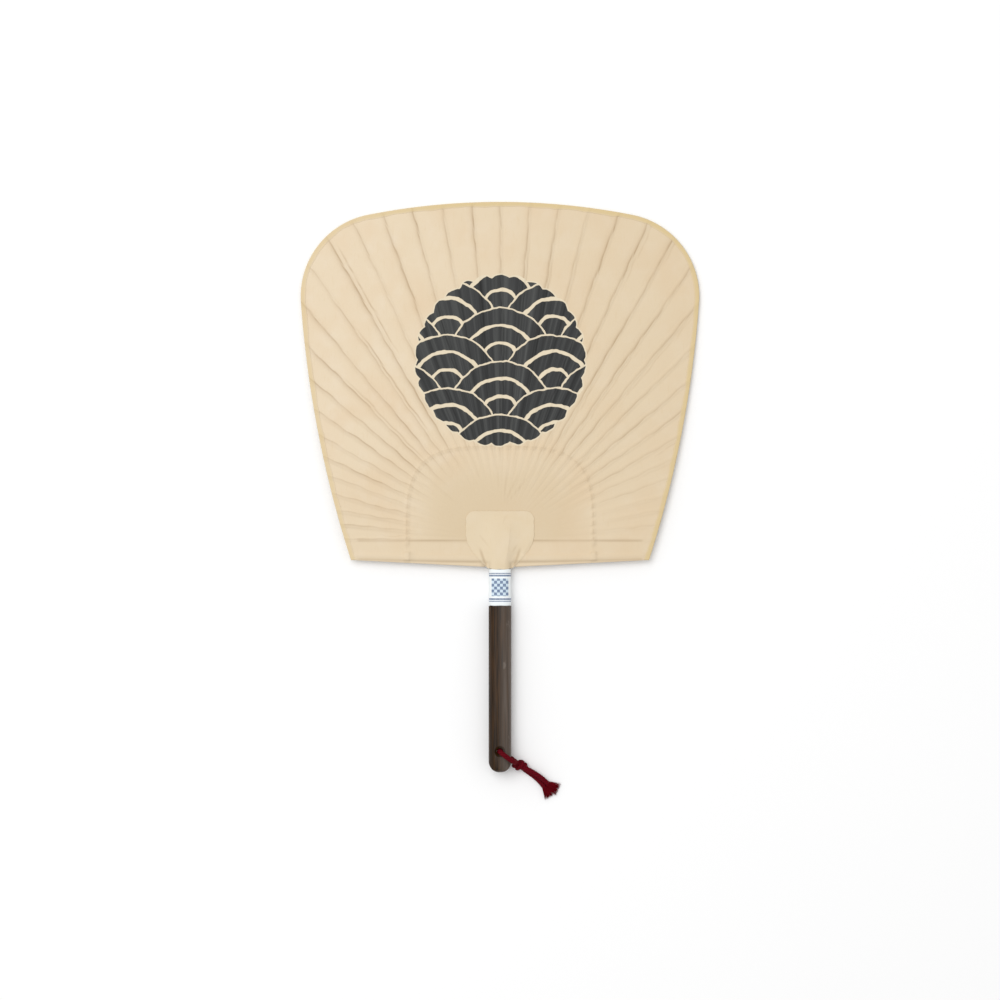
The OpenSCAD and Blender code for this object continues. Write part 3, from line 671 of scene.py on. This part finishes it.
def buildLabel():
    # A flat oval met at distance s round it: straight sides, half circles at the ends. Its top and bottom
    # edges run straight round the neck, apart from a slow sine.
    radius = label["thick"] / 2 + label["paste"] + label["thickness"]
    straight, bend = label["wide"] - label["thick"], math.pi * radius
    girth = 2 * straight + 2 * bend
    s = np.linspace(0, girth + label["overlap"], label["columns"])[None, :]
    v = np.linspace(0, 1, label["rows"])[:, None]
    m = (s + straight / 2) % girth
    stops = [0, straight, straight + bend, 2 * straight + bend, girth]
    turn = np.interp(m, stops, [0, 0, math.pi, math.pi, 2 * math.pi])
    centreX = np.interp(m, stops, np.array([-1, 1, 1, -1, -1]) * straight / 2)
    out = radius + smooth((s - girth + label["ramp"]) / label["ramp"]) * label["thickness"] * 1.1
    x, z = centreX + out * np.sin(turn), -out * np.cos(turn)
    y = -labelGap - label["length"] * v + (1 - 2 * v) ** 5 * label["uneven"] * np.sin(s * 0.9 + 1)
    faces = gridFaces(label["rows"], label["columns"], flip=True)
    piece = makeObject("neck_band", place(x, y, z), faces, "fan")
    setUv(piece, "print", ((s - girth / 2) / label["length"] + 0 * v).ravel(), (v + 0 * s).ravel())
    thicken(piece, label["thickness"] * 0.9)
    return piece


print("label")
neckBand = buildLabel()
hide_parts("neck_label")


# Cord: two strands, each from the middle of the hole round the handle's edge, through the knot to its frayed
# end. Points are in metres from the hole: the loop's are (distance along its bearing, height), the tails' are
# (x, y, height).
cord = {"thick": 3, "loopBearing": math.radians(-37), "holeY": -109.8, "lowLength": 40, "highLength": 48,
        "step": 0.35, "swell": 0.2, "swellLength": 3, "swellEnd": 1.5, "sides": 40, "braid": 0.12, "bands": 5,
        "lay": 2}
midHole = (0, 0.0082)
loopRoute = [(0.0124, 0.0024), (0.01, 0.0016), (0.0075, 0.0015), (0.005, 0.0015), (0.0028, 0.0015),
             (0.0015, 0.0018), (0.0004, 0.0029), (0, 0.0046), midHole, (0, 0.012), (0.0003, 0.0135),
             (0.0014, 0.0149), (0.0032, 0.0154), (0.0052, 0.0153), (0.0074, 0.0146), (0.0093, 0.0131),
             (0.0107, 0.011), (0.0114, 0.0086), (0.0118, 0.0066), (0.0126, 0.0048)]
lowTail = [(0.0135, -0.0106, 0.0022), (0.0155, -0.0122, 0.0017), (0.0175, -0.0136, 0.0015),
           (0.02, -0.0153, 0.0015), (0.0226, -0.0175, 0.0015), (0.025, -0.02, 0.0015),
           (0.0266, -0.0222, 0.0015)]
highTail = [(0.0135, -0.01, 0.0046), (0.016, -0.011, 0.0046), (0.0185, -0.0123, 0.0046),
            (0.0212, -0.0139, 0.0045), (0.024, -0.0158, 0.004), (0.0267, -0.0181, 0.0029),
            (0.0287, -0.0202, 0.0019)]
lowFray = [lowTail[-1], (0.0274, -0.0233, 0.0015), (0.0288, -0.0256, 0.0013), (0.0304, -0.0284, 0.0011)]
highFray = [highTail[-1], (0.0301, -0.021, 0.0014), (0.0324, -0.0224, 0.0013), (0.0354, -0.0238, 0.0011)]
holeAt = place(0, cord["holeY"], 0)
loopWay = np.array([math.cos(cord["loopBearing"]), math.sin(cord["loopBearing"])])


def fromHole(points):
    return np.array(points) + (holeAt[0], holeAt[1], 0)


def loopPoints(route):
    return [(s * loopWay[0], s * loopWay[1], z) for s, z in route]


def lengthAlong(path):
    # The length of a path up to each of its points
    return np.append(0, np.cumsum(np.linalg.norm(np.diff(path, axis=0), axis=1)))


def softened(points, step):
    # A smooth curve near the points, a cubic B-spline with its ends held, resampled at an even step in metres
    p = np.concatenate([2 * points[:1] - points[1:2], points, 2 * points[-1:] - points[-2:-1]])
    t = np.linspace(0, 1, 24, endpoint=False)[:, None]
    weights = (1 - t) ** 3, 3 * t ** 3 - 6 * t ** 2 + 4, -3 * t ** 3 + 3 * t ** 2 + 3 * t + 1, t ** 3
    curve = [sum(w * p[i + j] for j, w in enumerate(weights)) / 6 for i in range(len(p) - 3)]
    curve = np.concatenate(curve + [points[-1:]])
    gone = lengthAlong(curve)
    s = np.linspace(0, gone[-1], max(4, int(gone[-1] / step)))
    return np.stack([np.interp(s, gone, curve[:, i]) for i in range(3)], -1)


def tube(name, path, swell=0):
    # A closed tube round a path, with the relief of a plain braid: bands run round it both ways, and in each
    # diamond where two bands cross the one on top alternates. A band's height is a half sine across it. The
    # tube is thicker by the share swell over its first stretch, then runs down to its own radius.
    sides, braid = cord["sides"], cord["braid"]
    heading = np.gradient(path, axis=0)
    heading /= np.linalg.norm(heading, axis=1)[:, None]
    across = np.empty_like(heading)
    across[0] = np.cross(heading[0], (0.3, 0.2, 1))
    for i in range(len(path)):
        if i:
            across[i] = across[i - 1] - heading[i] * (across[i - 1] @ heading[i])
        across[i] /= np.linalg.norm(across[i])
    third = np.cross(heading, across)
    gone = lengthAlong(path)[:, None] / milli
    a = np.linspace(0, 2 * math.pi, sides, endpoint=False)[None, :]
    oneWay = cord["bands"] * a / (2 * math.pi) + gone / cord["lay"]
    otherWay = cord["bands"] * a / (2 * math.pi) - gone / cord["lay"]
    onTop = (np.floor(oneWay) + np.floor(otherWay)) % 2 == 0
    over = np.where(onTop, np.abs(np.sin(math.pi * oneWay)), np.abs(np.sin(math.pi * otherWay)))
    thicker = 1 + swell * hump(gone, cord["swellLength"], cord["swellEnd"])
    reach = cord["thick"] / 2 * milli * (1 - braid + braid * over) * thicker
    ring = np.cos(a)[..., None] * across[:, None] + np.sin(a)[..., None] * third[:, None]
    points = path[:, None] + reach[..., None] * ring
    flat = np.concatenate([points.reshape(-1, 3), path[:1], path[-1:]])
    faces = gridFaces(len(path), sides, wrapColumns=True, flip=True)
    last = (len(path) - 1) * sides
    faces += [[len(flat) - 2, k, (k + 1) % sides] for k in range(sides)]
    faces += [[len(flat) - 1, last + (k + 1) % sides, last + k] for k in range(sides)]
    piece = makeObject(name, flat, faces, "tassel")
    # painted shade in the hollows between the braid's bands
    setAttribute(piece, "hollowShade", np.append(1 - over.ravel(), [1, 1]))
    return piece


print("cord")
middleIndex = loopRoute.index(midHole)
lowRoute = fromHole(loopPoints(loopRoute[middleIndex::-1]) + lowTail)
highRoute = fromHole(loopPoints(loopRoute[middleIndex:]) + highTail)
lowPath, highPath = (softened(route, cord["step"] * milli) for route in (lowRoute, highRoute))
lowStrand = tube("cord_strand_low", lowPath, cord["swell"])
highStrand = tube("cord_strand_high", highPath, cord["swell"])


knotTurns = {"at": 14.7, "thick": 7.4, "turns": 2.15, "first": 0.6, "length": 5.2, "slant": 0.9, "tuck": 0.16,
             "tucked": 0.35, "stations": 150}


def knotPath():
    # A little over two turns of the cord round its own two strands, with both ends tucked in: a helix along
    # the loop's bearing, which slants by a sine and is narrower at both ends
    t = np.linspace(0, 1, knotTurns["stations"])
    turn = 2 * math.pi * knotTurns["turns"] * t + knotTurns["first"]
    tuck = smooth(t / knotTurns["tuck"]) * smooth((1 - t) / knotTurns["tuck"])
    ring = (knotTurns["thick"] - cord["thick"]) / 2 * mixed(knotTurns["tucked"], 1, tuck)
    along = (t - 0.5) * knotTurns["length"] + knotTurns["slant"] * np.sin(turn + 1)
    s = knotTurns["at"] + along
    side, up = ring * np.cos(turn), ring * np.sin(turn)
    x = s * loopWay[0] - side * loopWay[1]
    y = s * loopWay[1] + side * loopWay[0]
    return fromHole(np.stack([x, y, up + knotTurns["thick"] / 2], -1) * milli)


knot = tube("overhand_knot", knotPath())
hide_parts("cord_knot")

# Loose threads: halfWidth and halfThick are how far they spread sideways and up at the end's four points
fray = {"threads": 140, "thick": 0.26, "halfWidth": (1.5, 2, 2.9, 4.2), "halfThick": (1.35, 1.3, 1.1, 0.95),
        "seed": 8, "steps": 9, "tip": 0.4, "reach": (0.72, 1.04), "waveWide": 0.35, "waveHigh": 0.2}
thirdTurn = 2.094  # in radians


def buildFrays():
    # Loose threads of both ends: each keeps its own place across the flare, and waves by a sine that grows
    # towards its tip. A thread is a three-sided tube that narrows at the tip.
    chance = np.random.default_rng(fray["seed"])
    n = fray["steps"]
    steps = np.linspace(0, 1, n)
    width = fray["thick"] / 2 * milli * np.append(np.ones(n - 1), fray["tip"])
    points, faces = [], []
    for route in (lowFray, highFray):
        line = fromHole(route)
        for _ in range(fray["threads"]):
            a, q = chance.uniform(0, 2 * math.pi), math.sqrt(chance.uniform(0, 1))
            reach = chance.uniform(*fray["reach"])
            wave = chance.uniform(-1, 1, 4)
            t = steps * reach * (len(line) - 1)
            way = np.stack([np.interp(t, range(len(line)), line[:, i]) for i in range(3)], -1)
            ahead = np.gradient(way, axis=0)[:, :2]
            ahead /= np.linalg.norm(ahead, axis=1)[:, None]
            sideways = np.stack([-ahead[:, 1], ahead[:, 0]], -1)
            half = np.interp(t, range(4), fray["halfWidth"]) * (q * math.cos(a))
            half = half + fray["waveWide"] * wave[0] * np.sin(steps * 5 + wave[1] * 3) * steps
            up = np.interp(t, range(4), fray["halfThick"]) * (q * math.sin(a))
            up = up + fray["waveHigh"] * wave[2] * np.sin(steps * 6 + wave[3]) * steps
            way[:, :2] += sideways * half[:, None] * milli
            way[:, 2] = np.maximum(way[:, 2] + up * milli, fray["thick"] * milli * 0.6)
            start = len(points) * n
            for k in range(3):
                turn = k * thirdTurn
                edge = np.append(sideways * math.cos(turn), np.full((n, 1), math.sin(turn)), 1)
                points.append(way + edge * width[:, None])
                one, other = start + k * n, start + (k + 1) % 3 * n
                faces += [[one + i, one + i + 1, other + i + 1, other + i] for i in range(n - 1)]
            last = start + n - 1
            faces += [[start, start + n, start + 2 * n], [last, last + 2 * n, last + n]]
    return makeObject("frayed_threads", np.concatenate(points), faces, "tassel")


frays = buildFrays()
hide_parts("frayed_ends")
for strand, path, node, length in ((lowStrand, lowPath, "cord_loop", cord["lowLength"]),
                                   (highStrand, highPath, "cord_tails", cord["highLength"])):
    print(strand.name, round(float(lengthAlong(path)[-1]) / milli, 1), "mm long")
    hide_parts(node)


# Mulberry paper, brushed with persimmon juice: dry, slightly mottled, fibrous, with painted shade in folds
# and to the right.
# Sizes are in metres.
paperLook = {"base": "#e4d2b6", "warm": "#dfc4a2", "pale": "#e9dac4", "fibre": "#d5bd96", "paintedFoldShade": "#9c7d55",
             "shadeAndTone": "#d3be9c", "shadeAndToneShare": 0.9, "foldShadeShare": 0.62, "mottle": 0.03, "fibreWidth": 0.0011,
             "fibreStretch": 0.16, "fibreDepth": 0.00003, "roughness": 0.82}
bindingLook = paperLook | {"rim": "#d8c191", "rimShare": 0.9}
patchLook = paperLook | {"base": "#e3d2b5", "warm": "#dec8a5", "foldShadeShare": 0.5}


def paperMaterial(name, look):
    # Fibres lie along the blade, so their pattern is stretched that way
    material, shader = newMaterial(name, look["roughness"], Specular_IOR_Level=0.25)
    spot = addNode(material, "TexCoord", {}, 3)
    stretched = addNode(material, "Mapping", {"Vector": spot, "Scale": (1, look["fibreStretch"], 1)})
    finest = 1 / look["fibreWidth"]
    fibres = addNode(material, "TexNoise", {"Vector": stretched, "Scale": finest, "Detail": 3})
    broad = addNode(material, "TexNoise", {"Vector": spot, "Scale": 1 / look["mottle"], "Detail": 2})
    small = addNode(material, "TexNoise", {"Vector": spot, "Scale": 2.6 / look["mottle"], "Detail": 3})
    paintedFoldShade = addNode(material, "Attribute", {}, 2, attribute_name="paintedFoldShade")
    shadeAndTone = addNode(material, "Attribute", {}, 2, attribute_name="shadeAndTone")
    # coats: mottling, painted shade and tone, fibres, and the painted shade of the folds
    coats = [(look["warm"], broad, 0.45, 0.75, 0.5), (look["pale"], small, 0.5, 0.8, 0.45),
             (look["shadeAndTone"], shadeAndTone, 0, 1, look["shadeAndToneShare"]), (look["fibre"], fibres, 0.58, 0.8, 0.25),
             (look["paintedFoldShade"], paintedFoldShade, 0.03, 1, look["foldShadeShare"])]
    if "rim" in look:
        rim = addNode(material, "Attribute", {}, 2, attribute_name="rim")
        coats.append((look["rim"], rim, 0, 1, look["rimShare"]))
    return material, shader, layCoats(material, linear(look["base"]), coats), paintedFoldShade, fibres


# Black ink printed in a round: a wave pattern of overlapping scales, cut by hand, so its lines waver
inkLook = {"x": 0.3, "y": 124.8, "radius": 51.5, "lobes": 30, "lobeDepth": 0.035, "scale": 32,
           "rings": 32 / 3, "line": 2, "wobble": 3.2, "waver": 0.13, "ink": "#323333", "sheen": "#565755",
           "shade": "#1f1f1f", "bare": "#e3d5ba", "halo": 0.7, "blur": 0.1, "streak": (3.4, 0.5, 1),
           "roughness": 0.55}


def printInk(material, colour, paintedFoldShade, look):
    # Distances are in mm from the round's centre, in the sheet's own UV map
    flat = addNode(material, "UVMap", {}, uv_map="print")
    waver = addNode(material, "TexNoise", {"Vector": flat, "Scale": look["waver"], "Detail": 2}, 1)
    waver = addNode(material, "VectorMath", {0: waver, 1: (0.5, 0.5, 0.5)}, operation="SUBTRACT")
    waver = addNode(material, "VectorMath", {0: waver, "Scale": look["wobble"]}, operation="SCALE")
    spot = addNode(material, "VectorMath", {0: flat, 1: waver}, operation="ADD")
    value = {"u": addNode(material, "SeparateXYZ", {"Vector": spot}, 0),
             "v": addNode(material, "SeparateXYZ", {"Vector": spot}, 1),
             "far": addNode(material, "VectorMath", {0: spot}, 1, operation="LENGTH")}
    scale, half, ring = look["scale"], look["scale"] / 2, look["rings"] / 2
    lobe = look["radius"] * look["lobeDepth"]
    # Rows of circles lie half a radius apart, and odd rows are shifted by a radius. Of the circles that reach
    # a point, the one in the lowest row is on top: row = least n of its parity over
    # v / half - 2 sqrt(1 - (x / scale)^2).
    steps = [("x0", "PINGPONG", "u", scale), ("x1", "SUBTRACT", scale, "x0"), ("row", "DIVIDE", "v", half)]
    for odd in (0, 1):
        steps += [("t", "DIVIDE", f"x{odd}", scale), ("t", "MULTIPLY", "t", "t"), ("t", "SUBTRACT", 1, "t"),
                  ("t", "MAXIMUM", "t", 0), ("t", "SQRT", "t", 0), ("t", "MULTIPLY", "t", 2),
                  ("t", "SUBTRACT", "row", "t"), ("t", "SUBTRACT", "t", odd), ("t", "DIVIDE", "t", 2),
                  ("t", "FLOOR", "t", 0), ("t", "MULTIPLY", "t", 2), (f"n{odd}", "ADD", "t", 2 + odd)]
    # The gap to the nearest ring line round that circle's centre, and how far inside the lobed round it lies
    steps += [("oddOnTop", "LESS_THAN", "n1", "n0"), ("n", "MINIMUM", "n0", "n1"),
              ("x", "SUBTRACT", "x1", "x0"), ("x", "MULTIPLY", "x", "oddOnTop"), ("x", "ADD", "x", "x0"),
              ("y", "MULTIPLY", "n", half), ("y", "SUBTRACT", "v", "y"), ("xx", "MULTIPLY", "x", "x"),
              ("yy", "MULTIPLY", "y", "y"), ("d", "ADD", "xx", "yy"), ("d", "SQRT", "d", 0),
              ("d", "MAXIMUM", "d", ring), ("gap", "PINGPONG", "d", ring), ("lobe", "ARCTAN2", "v", "u"),
              ("lobe", "MULTIPLY", "lobe", look["lobes"] / 2), ("lobe", "SINE", "lobe", 0),
              ("lobe", "ABSOLUTE", "lobe", 0), ("lobe", "MULTIPLY", "lobe", lobe),
              ("edge", "ADD", "lobe", look["radius"] - lobe), ("in", "SUBTRACT", "edge", "far")]
    for name, operation, a, b in steps:
        value[name] = addNode(material, "Math", {0: value.get(a, a), 1: value.get(b, b)}, operation=operation)
    blur, halo, line = look["blur"], look["halo"], look["line"] / 2
    cut = addNode(material, "MapRange", {0: value["gap"], 1: line - blur, 2: line + blur})
    inside = addNode(material, "MapRange", {0: value["in"], 1: -blur, 2: blur})
    inked = addNode(material, "Math", {0: cut, 1: inside}, operation="MULTIPLY")
    # Painted sheen and painted shade: lighter and darker streaks run along the ribs, on the ink's slopes
    alongRibs = addNode(material, "UVMap", {}, uv_map="ribs")
    alongRibs = addNode(material, "Mapping", {"Vector": alongRibs, "Scale": look["streak"]})
    streak = addNode(material, "TexNoise", {"Vector": alongRibs, "Scale": 1, "Detail": 3, "Roughness": 0.65})
    # the ink takes the painted sheen and painted shade of the streaks, and the painted shade of the folds
    black = layCoats(material, linear(look["ink"]),
                     [(look["sheen"], streak, 0.48, 0.72, 0.75), (look["shade"], streak, 0.46, 0.3, 0.8),
                      (look["shade"], paintedFoldShade, 0.05, 0.8, 0.85)])
    colour = layCoats(material, colour, [(look["bare"], value["in"], -halo - 3 * blur, -halo, 1)])
    colour = addNode(material, "Mix", {"Factor": inked, "A": colour, "B": black}, 2, data_type="RGBA")
    dull = addNode(material, "MapRange", {0: inked, 3: paperLook["roughness"], 4: look["roughness"]})
    return colour, dull


print("paper materials")
x, y, _ = meshPoints(frontPaper)
dy = y - spread[1]
setUv(frontPaper, "ribs", np.arctan2(dy, x) / pitch, np.hypot(x, dy) / 100)
setUv(frontPaper, "print", x - inkLook["x"], y - inkLook["y"])
for name, look, wearers in (("printed mulberry paper", paperLook, [frontPaper]),
                            ("mulberry paper", paperLook, [backPaper]),
                            ("binding paper", bindingLook, [edgeBinding]),
                            ("thin patch paper", patchLook, [frontPatch, backPatch])):
    material, shader, colour, paintedFoldShade, fibres = paperMaterial(name, look)
    dull = None
    if frontPaper in wearers:
        colour, dull = printInk(material, colour, paintedFoldShade, inkLook)
    useOn(shader, material, colour, dull, fibres, look["fibreDepth"])
    for piece in wearers:
        shadeWith(piece, material)


# Smooth white label paper with a thin blue print: two pairs of rules and a panel of small squares.
# Places and half widths are shares of the label's length.
labelLook = {"white": "#f1f6f7", "blue": "#3f5a86", "wash": "#cfe0ec", "square": 0.08, "roughness": 0.55,
             "rules": ((0.12, 0.013), (0.88, 0.013), (0.18, 0.024), (0.82, 0.024)), "panel": 0.24}


def labelMaterial(look):
    # u and v are shares of the label's length, u from the middle of its front
    material, shader = newMaterial("white label paper", look["roughness"])
    spot = addNode(material, "UVMap", {}, uv_map="print")
    value = {"u": addNode(material, "SeparateXYZ", {"Vector": spot}, 0),
             "v": addNode(material, "SeparateXYZ", {"Vector": spot}, 1),
             "squares": addNode(material, "TexChecker", {"Vector": spot, "Scale": 1 / look["square"]}, 1),
             "blots": addNode(material, "TexNoise", {"Vector": spot, "Scale": 30, "Detail": 2})}
    # COMPARE is 1 where two values differ by less than the third
    places = [("across", "u", 0, look["panel"]), ("along", "v", 0.5, look["panel"])]
    places += [(i, "v", at, half) for i, (at, half) in enumerate(look["rules"])]
    for name, way, at, half in places:
        value[name] = addNode(material, "Math", {0: value[way], 1: at, 2: half}, operation="COMPARE")
    steps = [("panel", "MULTIPLY", "across", "along"), ("print", "MULTIPLY", "panel", "squares")]
    steps += [("print", "MAXIMUM", "print", i) for i in range(len(look["rules"]))]
    steps += [("thin", "MULTIPLY", "blots", -0.7), ("thin", "ADD", "thin", 1.15),
              ("print", "MULTIPLY", "print", "thin")]
    for name, operation, a, b in steps:
        value[name] = addNode(material, "Math", {0: value.get(a, a), 1: value.get(b, b)}, operation=operation)
    coats = [(look["wash"], value["panel"], 0, 1, 1), (look["blue"], value["print"], 0, 1, 1)]
    useOn(shader, material, layCoats(material, linear(look["white"]), coats))
    return material


print("label material")
shadeWith(neckBand, labelMaterial(labelLook))


# Dark stained wood: straight grain along the handle under worn wax, with a painted sheen that greys its right
# side like a reflection, in uneven bands, and a few pale scuffs within it. Sizes are in metres.
woodLook = {"dark": "#170e06", "brown": "#40290f", "sheenGrey": "#6f655d", "sheenShare": 0.85, "grain": 0.0007,
            "grainDepth": 0.00008, "band": 0.003, "stretch": 0.03, "sheenX": (-0.0015, 0.0045),
            "roughness": (0.38, 0.58), "scuff": "#8f867d", "scuffSize": 0.0045}


def woodMaterial(look):
    material, shader = newMaterial("dark stained wood", 0.5, Specular_IOR_Level=0.2)
    spot = addNode(material, "TexCoord", {}, 3)
    along = addNode(material, "Mapping", {"Vector": spot, "Scale": (1, look["stretch"], 1)})
    grain = addNode(material, "TexNoise", {"Vector": along, "Scale": 1 / look["grain"], "Detail": 5})
    bands = addNode(material, "TexNoise", {"Vector": along, "Scale": 1 / look["band"], "Detail": 3})
    knocks = addNode(material, "Mapping", {"Vector": spot, "Scale": (1, 0.4, 1)})
    knocks = addNode(material, "TexNoise", {"Vector": knocks, "Scale": 1 / look["scuffSize"], "Detail": 4})
    knocks = addNode(material, "MapRange", {0: knocks, 1: 0.64, 2: 0.72, 3: 0, 4: 0.6})
    uneven = addNode(material, "MapRange", {0: bands, 1: 0.35, 2: 0.6, 3: 0.4, 4: 1})
    x = addNode(material, "SeparateXYZ", {"Vector": spot}, 0)
    left, right = look["sheenX"]
    # painted sheen: greyer towards the right side, in uneven bands; the scuffs lie only within it
    paintedSheen = addNode(material, "MapRange", {0: x, 1: left, 2: right, 3: 0, 4: look["sheenShare"]})
    paintedSheenStreaks = addNode(material, "Math", {0: paintedSheen, 1: uneven}, operation="MULTIPLY")
    scuffed = addNode(material, "Math", {0: paintedSheen, 1: knocks}, operation="MULTIPLY")
    coats = [(look["brown"], grain, 0.35, 0.65, 1), (look["sheenGrey"], paintedSheenStreaks, 0, 1, 1),
             (look["scuff"], scuffed, 0, 1, 1)]
    colour = layCoats(material, linear(look["dark"]), coats)
    low, high = look["roughness"]
    dull = addNode(material, "MapRange", {0: bands, 1: 0.3, 2: 0.7, 3: low, 4: high})
    useOn(shader, material, colour, dull, grain, look["grainDepth"])
    return material


# Split bamboo: pale, straight-grained, half dull. Cotton thread: soft and matt, off-white with age. Sizes are
# in metres.
bambooLook = {"light": "#dcc48f", "dark": "#b4935c", "grain": 0.0011, "grainDepth": 0.00002, "stretch": 0.2,
              "roughness": 0.5}
threadLook = {"light": "#dcc8a0", "dark": "#b79f75", "grain": 0.0004, "grainDepth": 0.00002, "stretch": 1,
              "roughness": 0.9}


def fibreMaterial(name, look):
    material, shader = newMaterial(name, look["roughness"])
    spot = addNode(material, "TexCoord", {}, 3)
    spot = addNode(material, "Mapping", {"Vector": spot, "Scale": (1, look["stretch"], 1)})
    grain = addNode(material, "TexNoise", {"Vector": spot, "Scale": 1 / look["grain"], "Detail": 4})
    colour = layCoats(material, linear(look["dark"]), [(look["light"], grain, 0, 1, 1)])
    useOn(shader, material, colour, height=grain, depth=look["grainDepth"])
    return material


print("wood, bamboo and thread")
shadeWith(handle, woodMaterial(woodLook))
bamboo = fibreMaterial("split bamboo", bambooLook)
for node in ("rib_frame", "bow"):
    shadeWith(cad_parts[node], bamboo)
shadeWith(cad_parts["weave_thread"], fibreMaterial("cotton thread", threadLook))


# Crimson braided cord: dull dyed yarn, with painted shade near black between its bands, brighter where it is
# teased out. even is how much the dye hides the yarn's own pattern. Sizes are in metres.
cordLook = {"deep": "#2a0309", "red": "#6f0918", "teased": "#7a0816", "even": 0.55, "yarn": 0.0004,
            "yarnDepth": 0.00005, "roughness": 0.8}


def cordMaterial(name, top, look):
    material, shader = newMaterial(name, look["roughness"], Specular_IOR_Level=0.06)
    spot = addNode(material, "TexCoord", {}, 3)
    yarn = addNode(material, "TexNoise", {"Vector": spot, "Scale": 1 / look["yarn"], "Detail": 3})
    hollowShade = addNode(material, "Attribute", {}, 2, attribute_name="hollowShade")
    coats = [(top, yarn, 0, 1, 1), (top, look["even"], 0, 1, 1), (look["deep"], hollowShade, 0.25, 1, 0.9)]
    colour = layCoats(material, linear(look["deep"]), coats)
    useOn(shader, material, colour, height=yarn, depth=look["yarnDepth"])
    return material


print("cord materials")
dyed = cordMaterial("crimson braided cord", cordLook["red"], cordLook)
for piece in (lowStrand, highStrand, knot):
    shadeWith(piece, dyed)
shadeWith(frays, cordMaterial("teased crimson yarn", cordLook["teased"], cordLook))


print("floor and light")
# A plain matt floor, and soft studio light: a big softbox nearly overhead, a little to the upper left, in a
# white room. Sizes are in metres.
studio = {"room": 0.66, "softbox": 31, "size": 1.8, "at": (-0.7, 0.65, 2.3), "floor": 0.98, "floorHalf": 4}
world = bpy.data.worlds.new("white_room")
world.use_nodes = True
background = world.node_tree.nodes["Background"]
background.inputs["Color"].default_value = (1, 1, 1, 1)
background.inputs["Strength"].default_value = studio["room"]
bpy.context.scene.world = world
softbox = bpy.data.lights.new("softbox", "AREA")
softbox.energy = studio["softbox"]
softbox.size = studio["size"]
lamp = addObject("softbox", softbox)
lamp.location = studio["at"]
lamp.rotation_euler = mathutils.Vector(studio["at"]).to_track_quat("Z", "Y").to_euler()
half = studio["floorHalf"]
floorCorners = [(-half, -half, 0), (half, -half, 0), (half, half, 0), (-half, half, 0)]
floorMesh = bpy.data.meshes.new("floor")
floorMesh.from_pydata(floorCorners, [], [(0, 1, 2, 3)])
floor = addObject("floor", floorMesh)
white = (*[studio["floor"]] * 3, 1)
shadeWith(floor, newMaterial("matt white backdrop", 0.9, Base_Color=white, Specular_IOR_Level=0.1)[0])
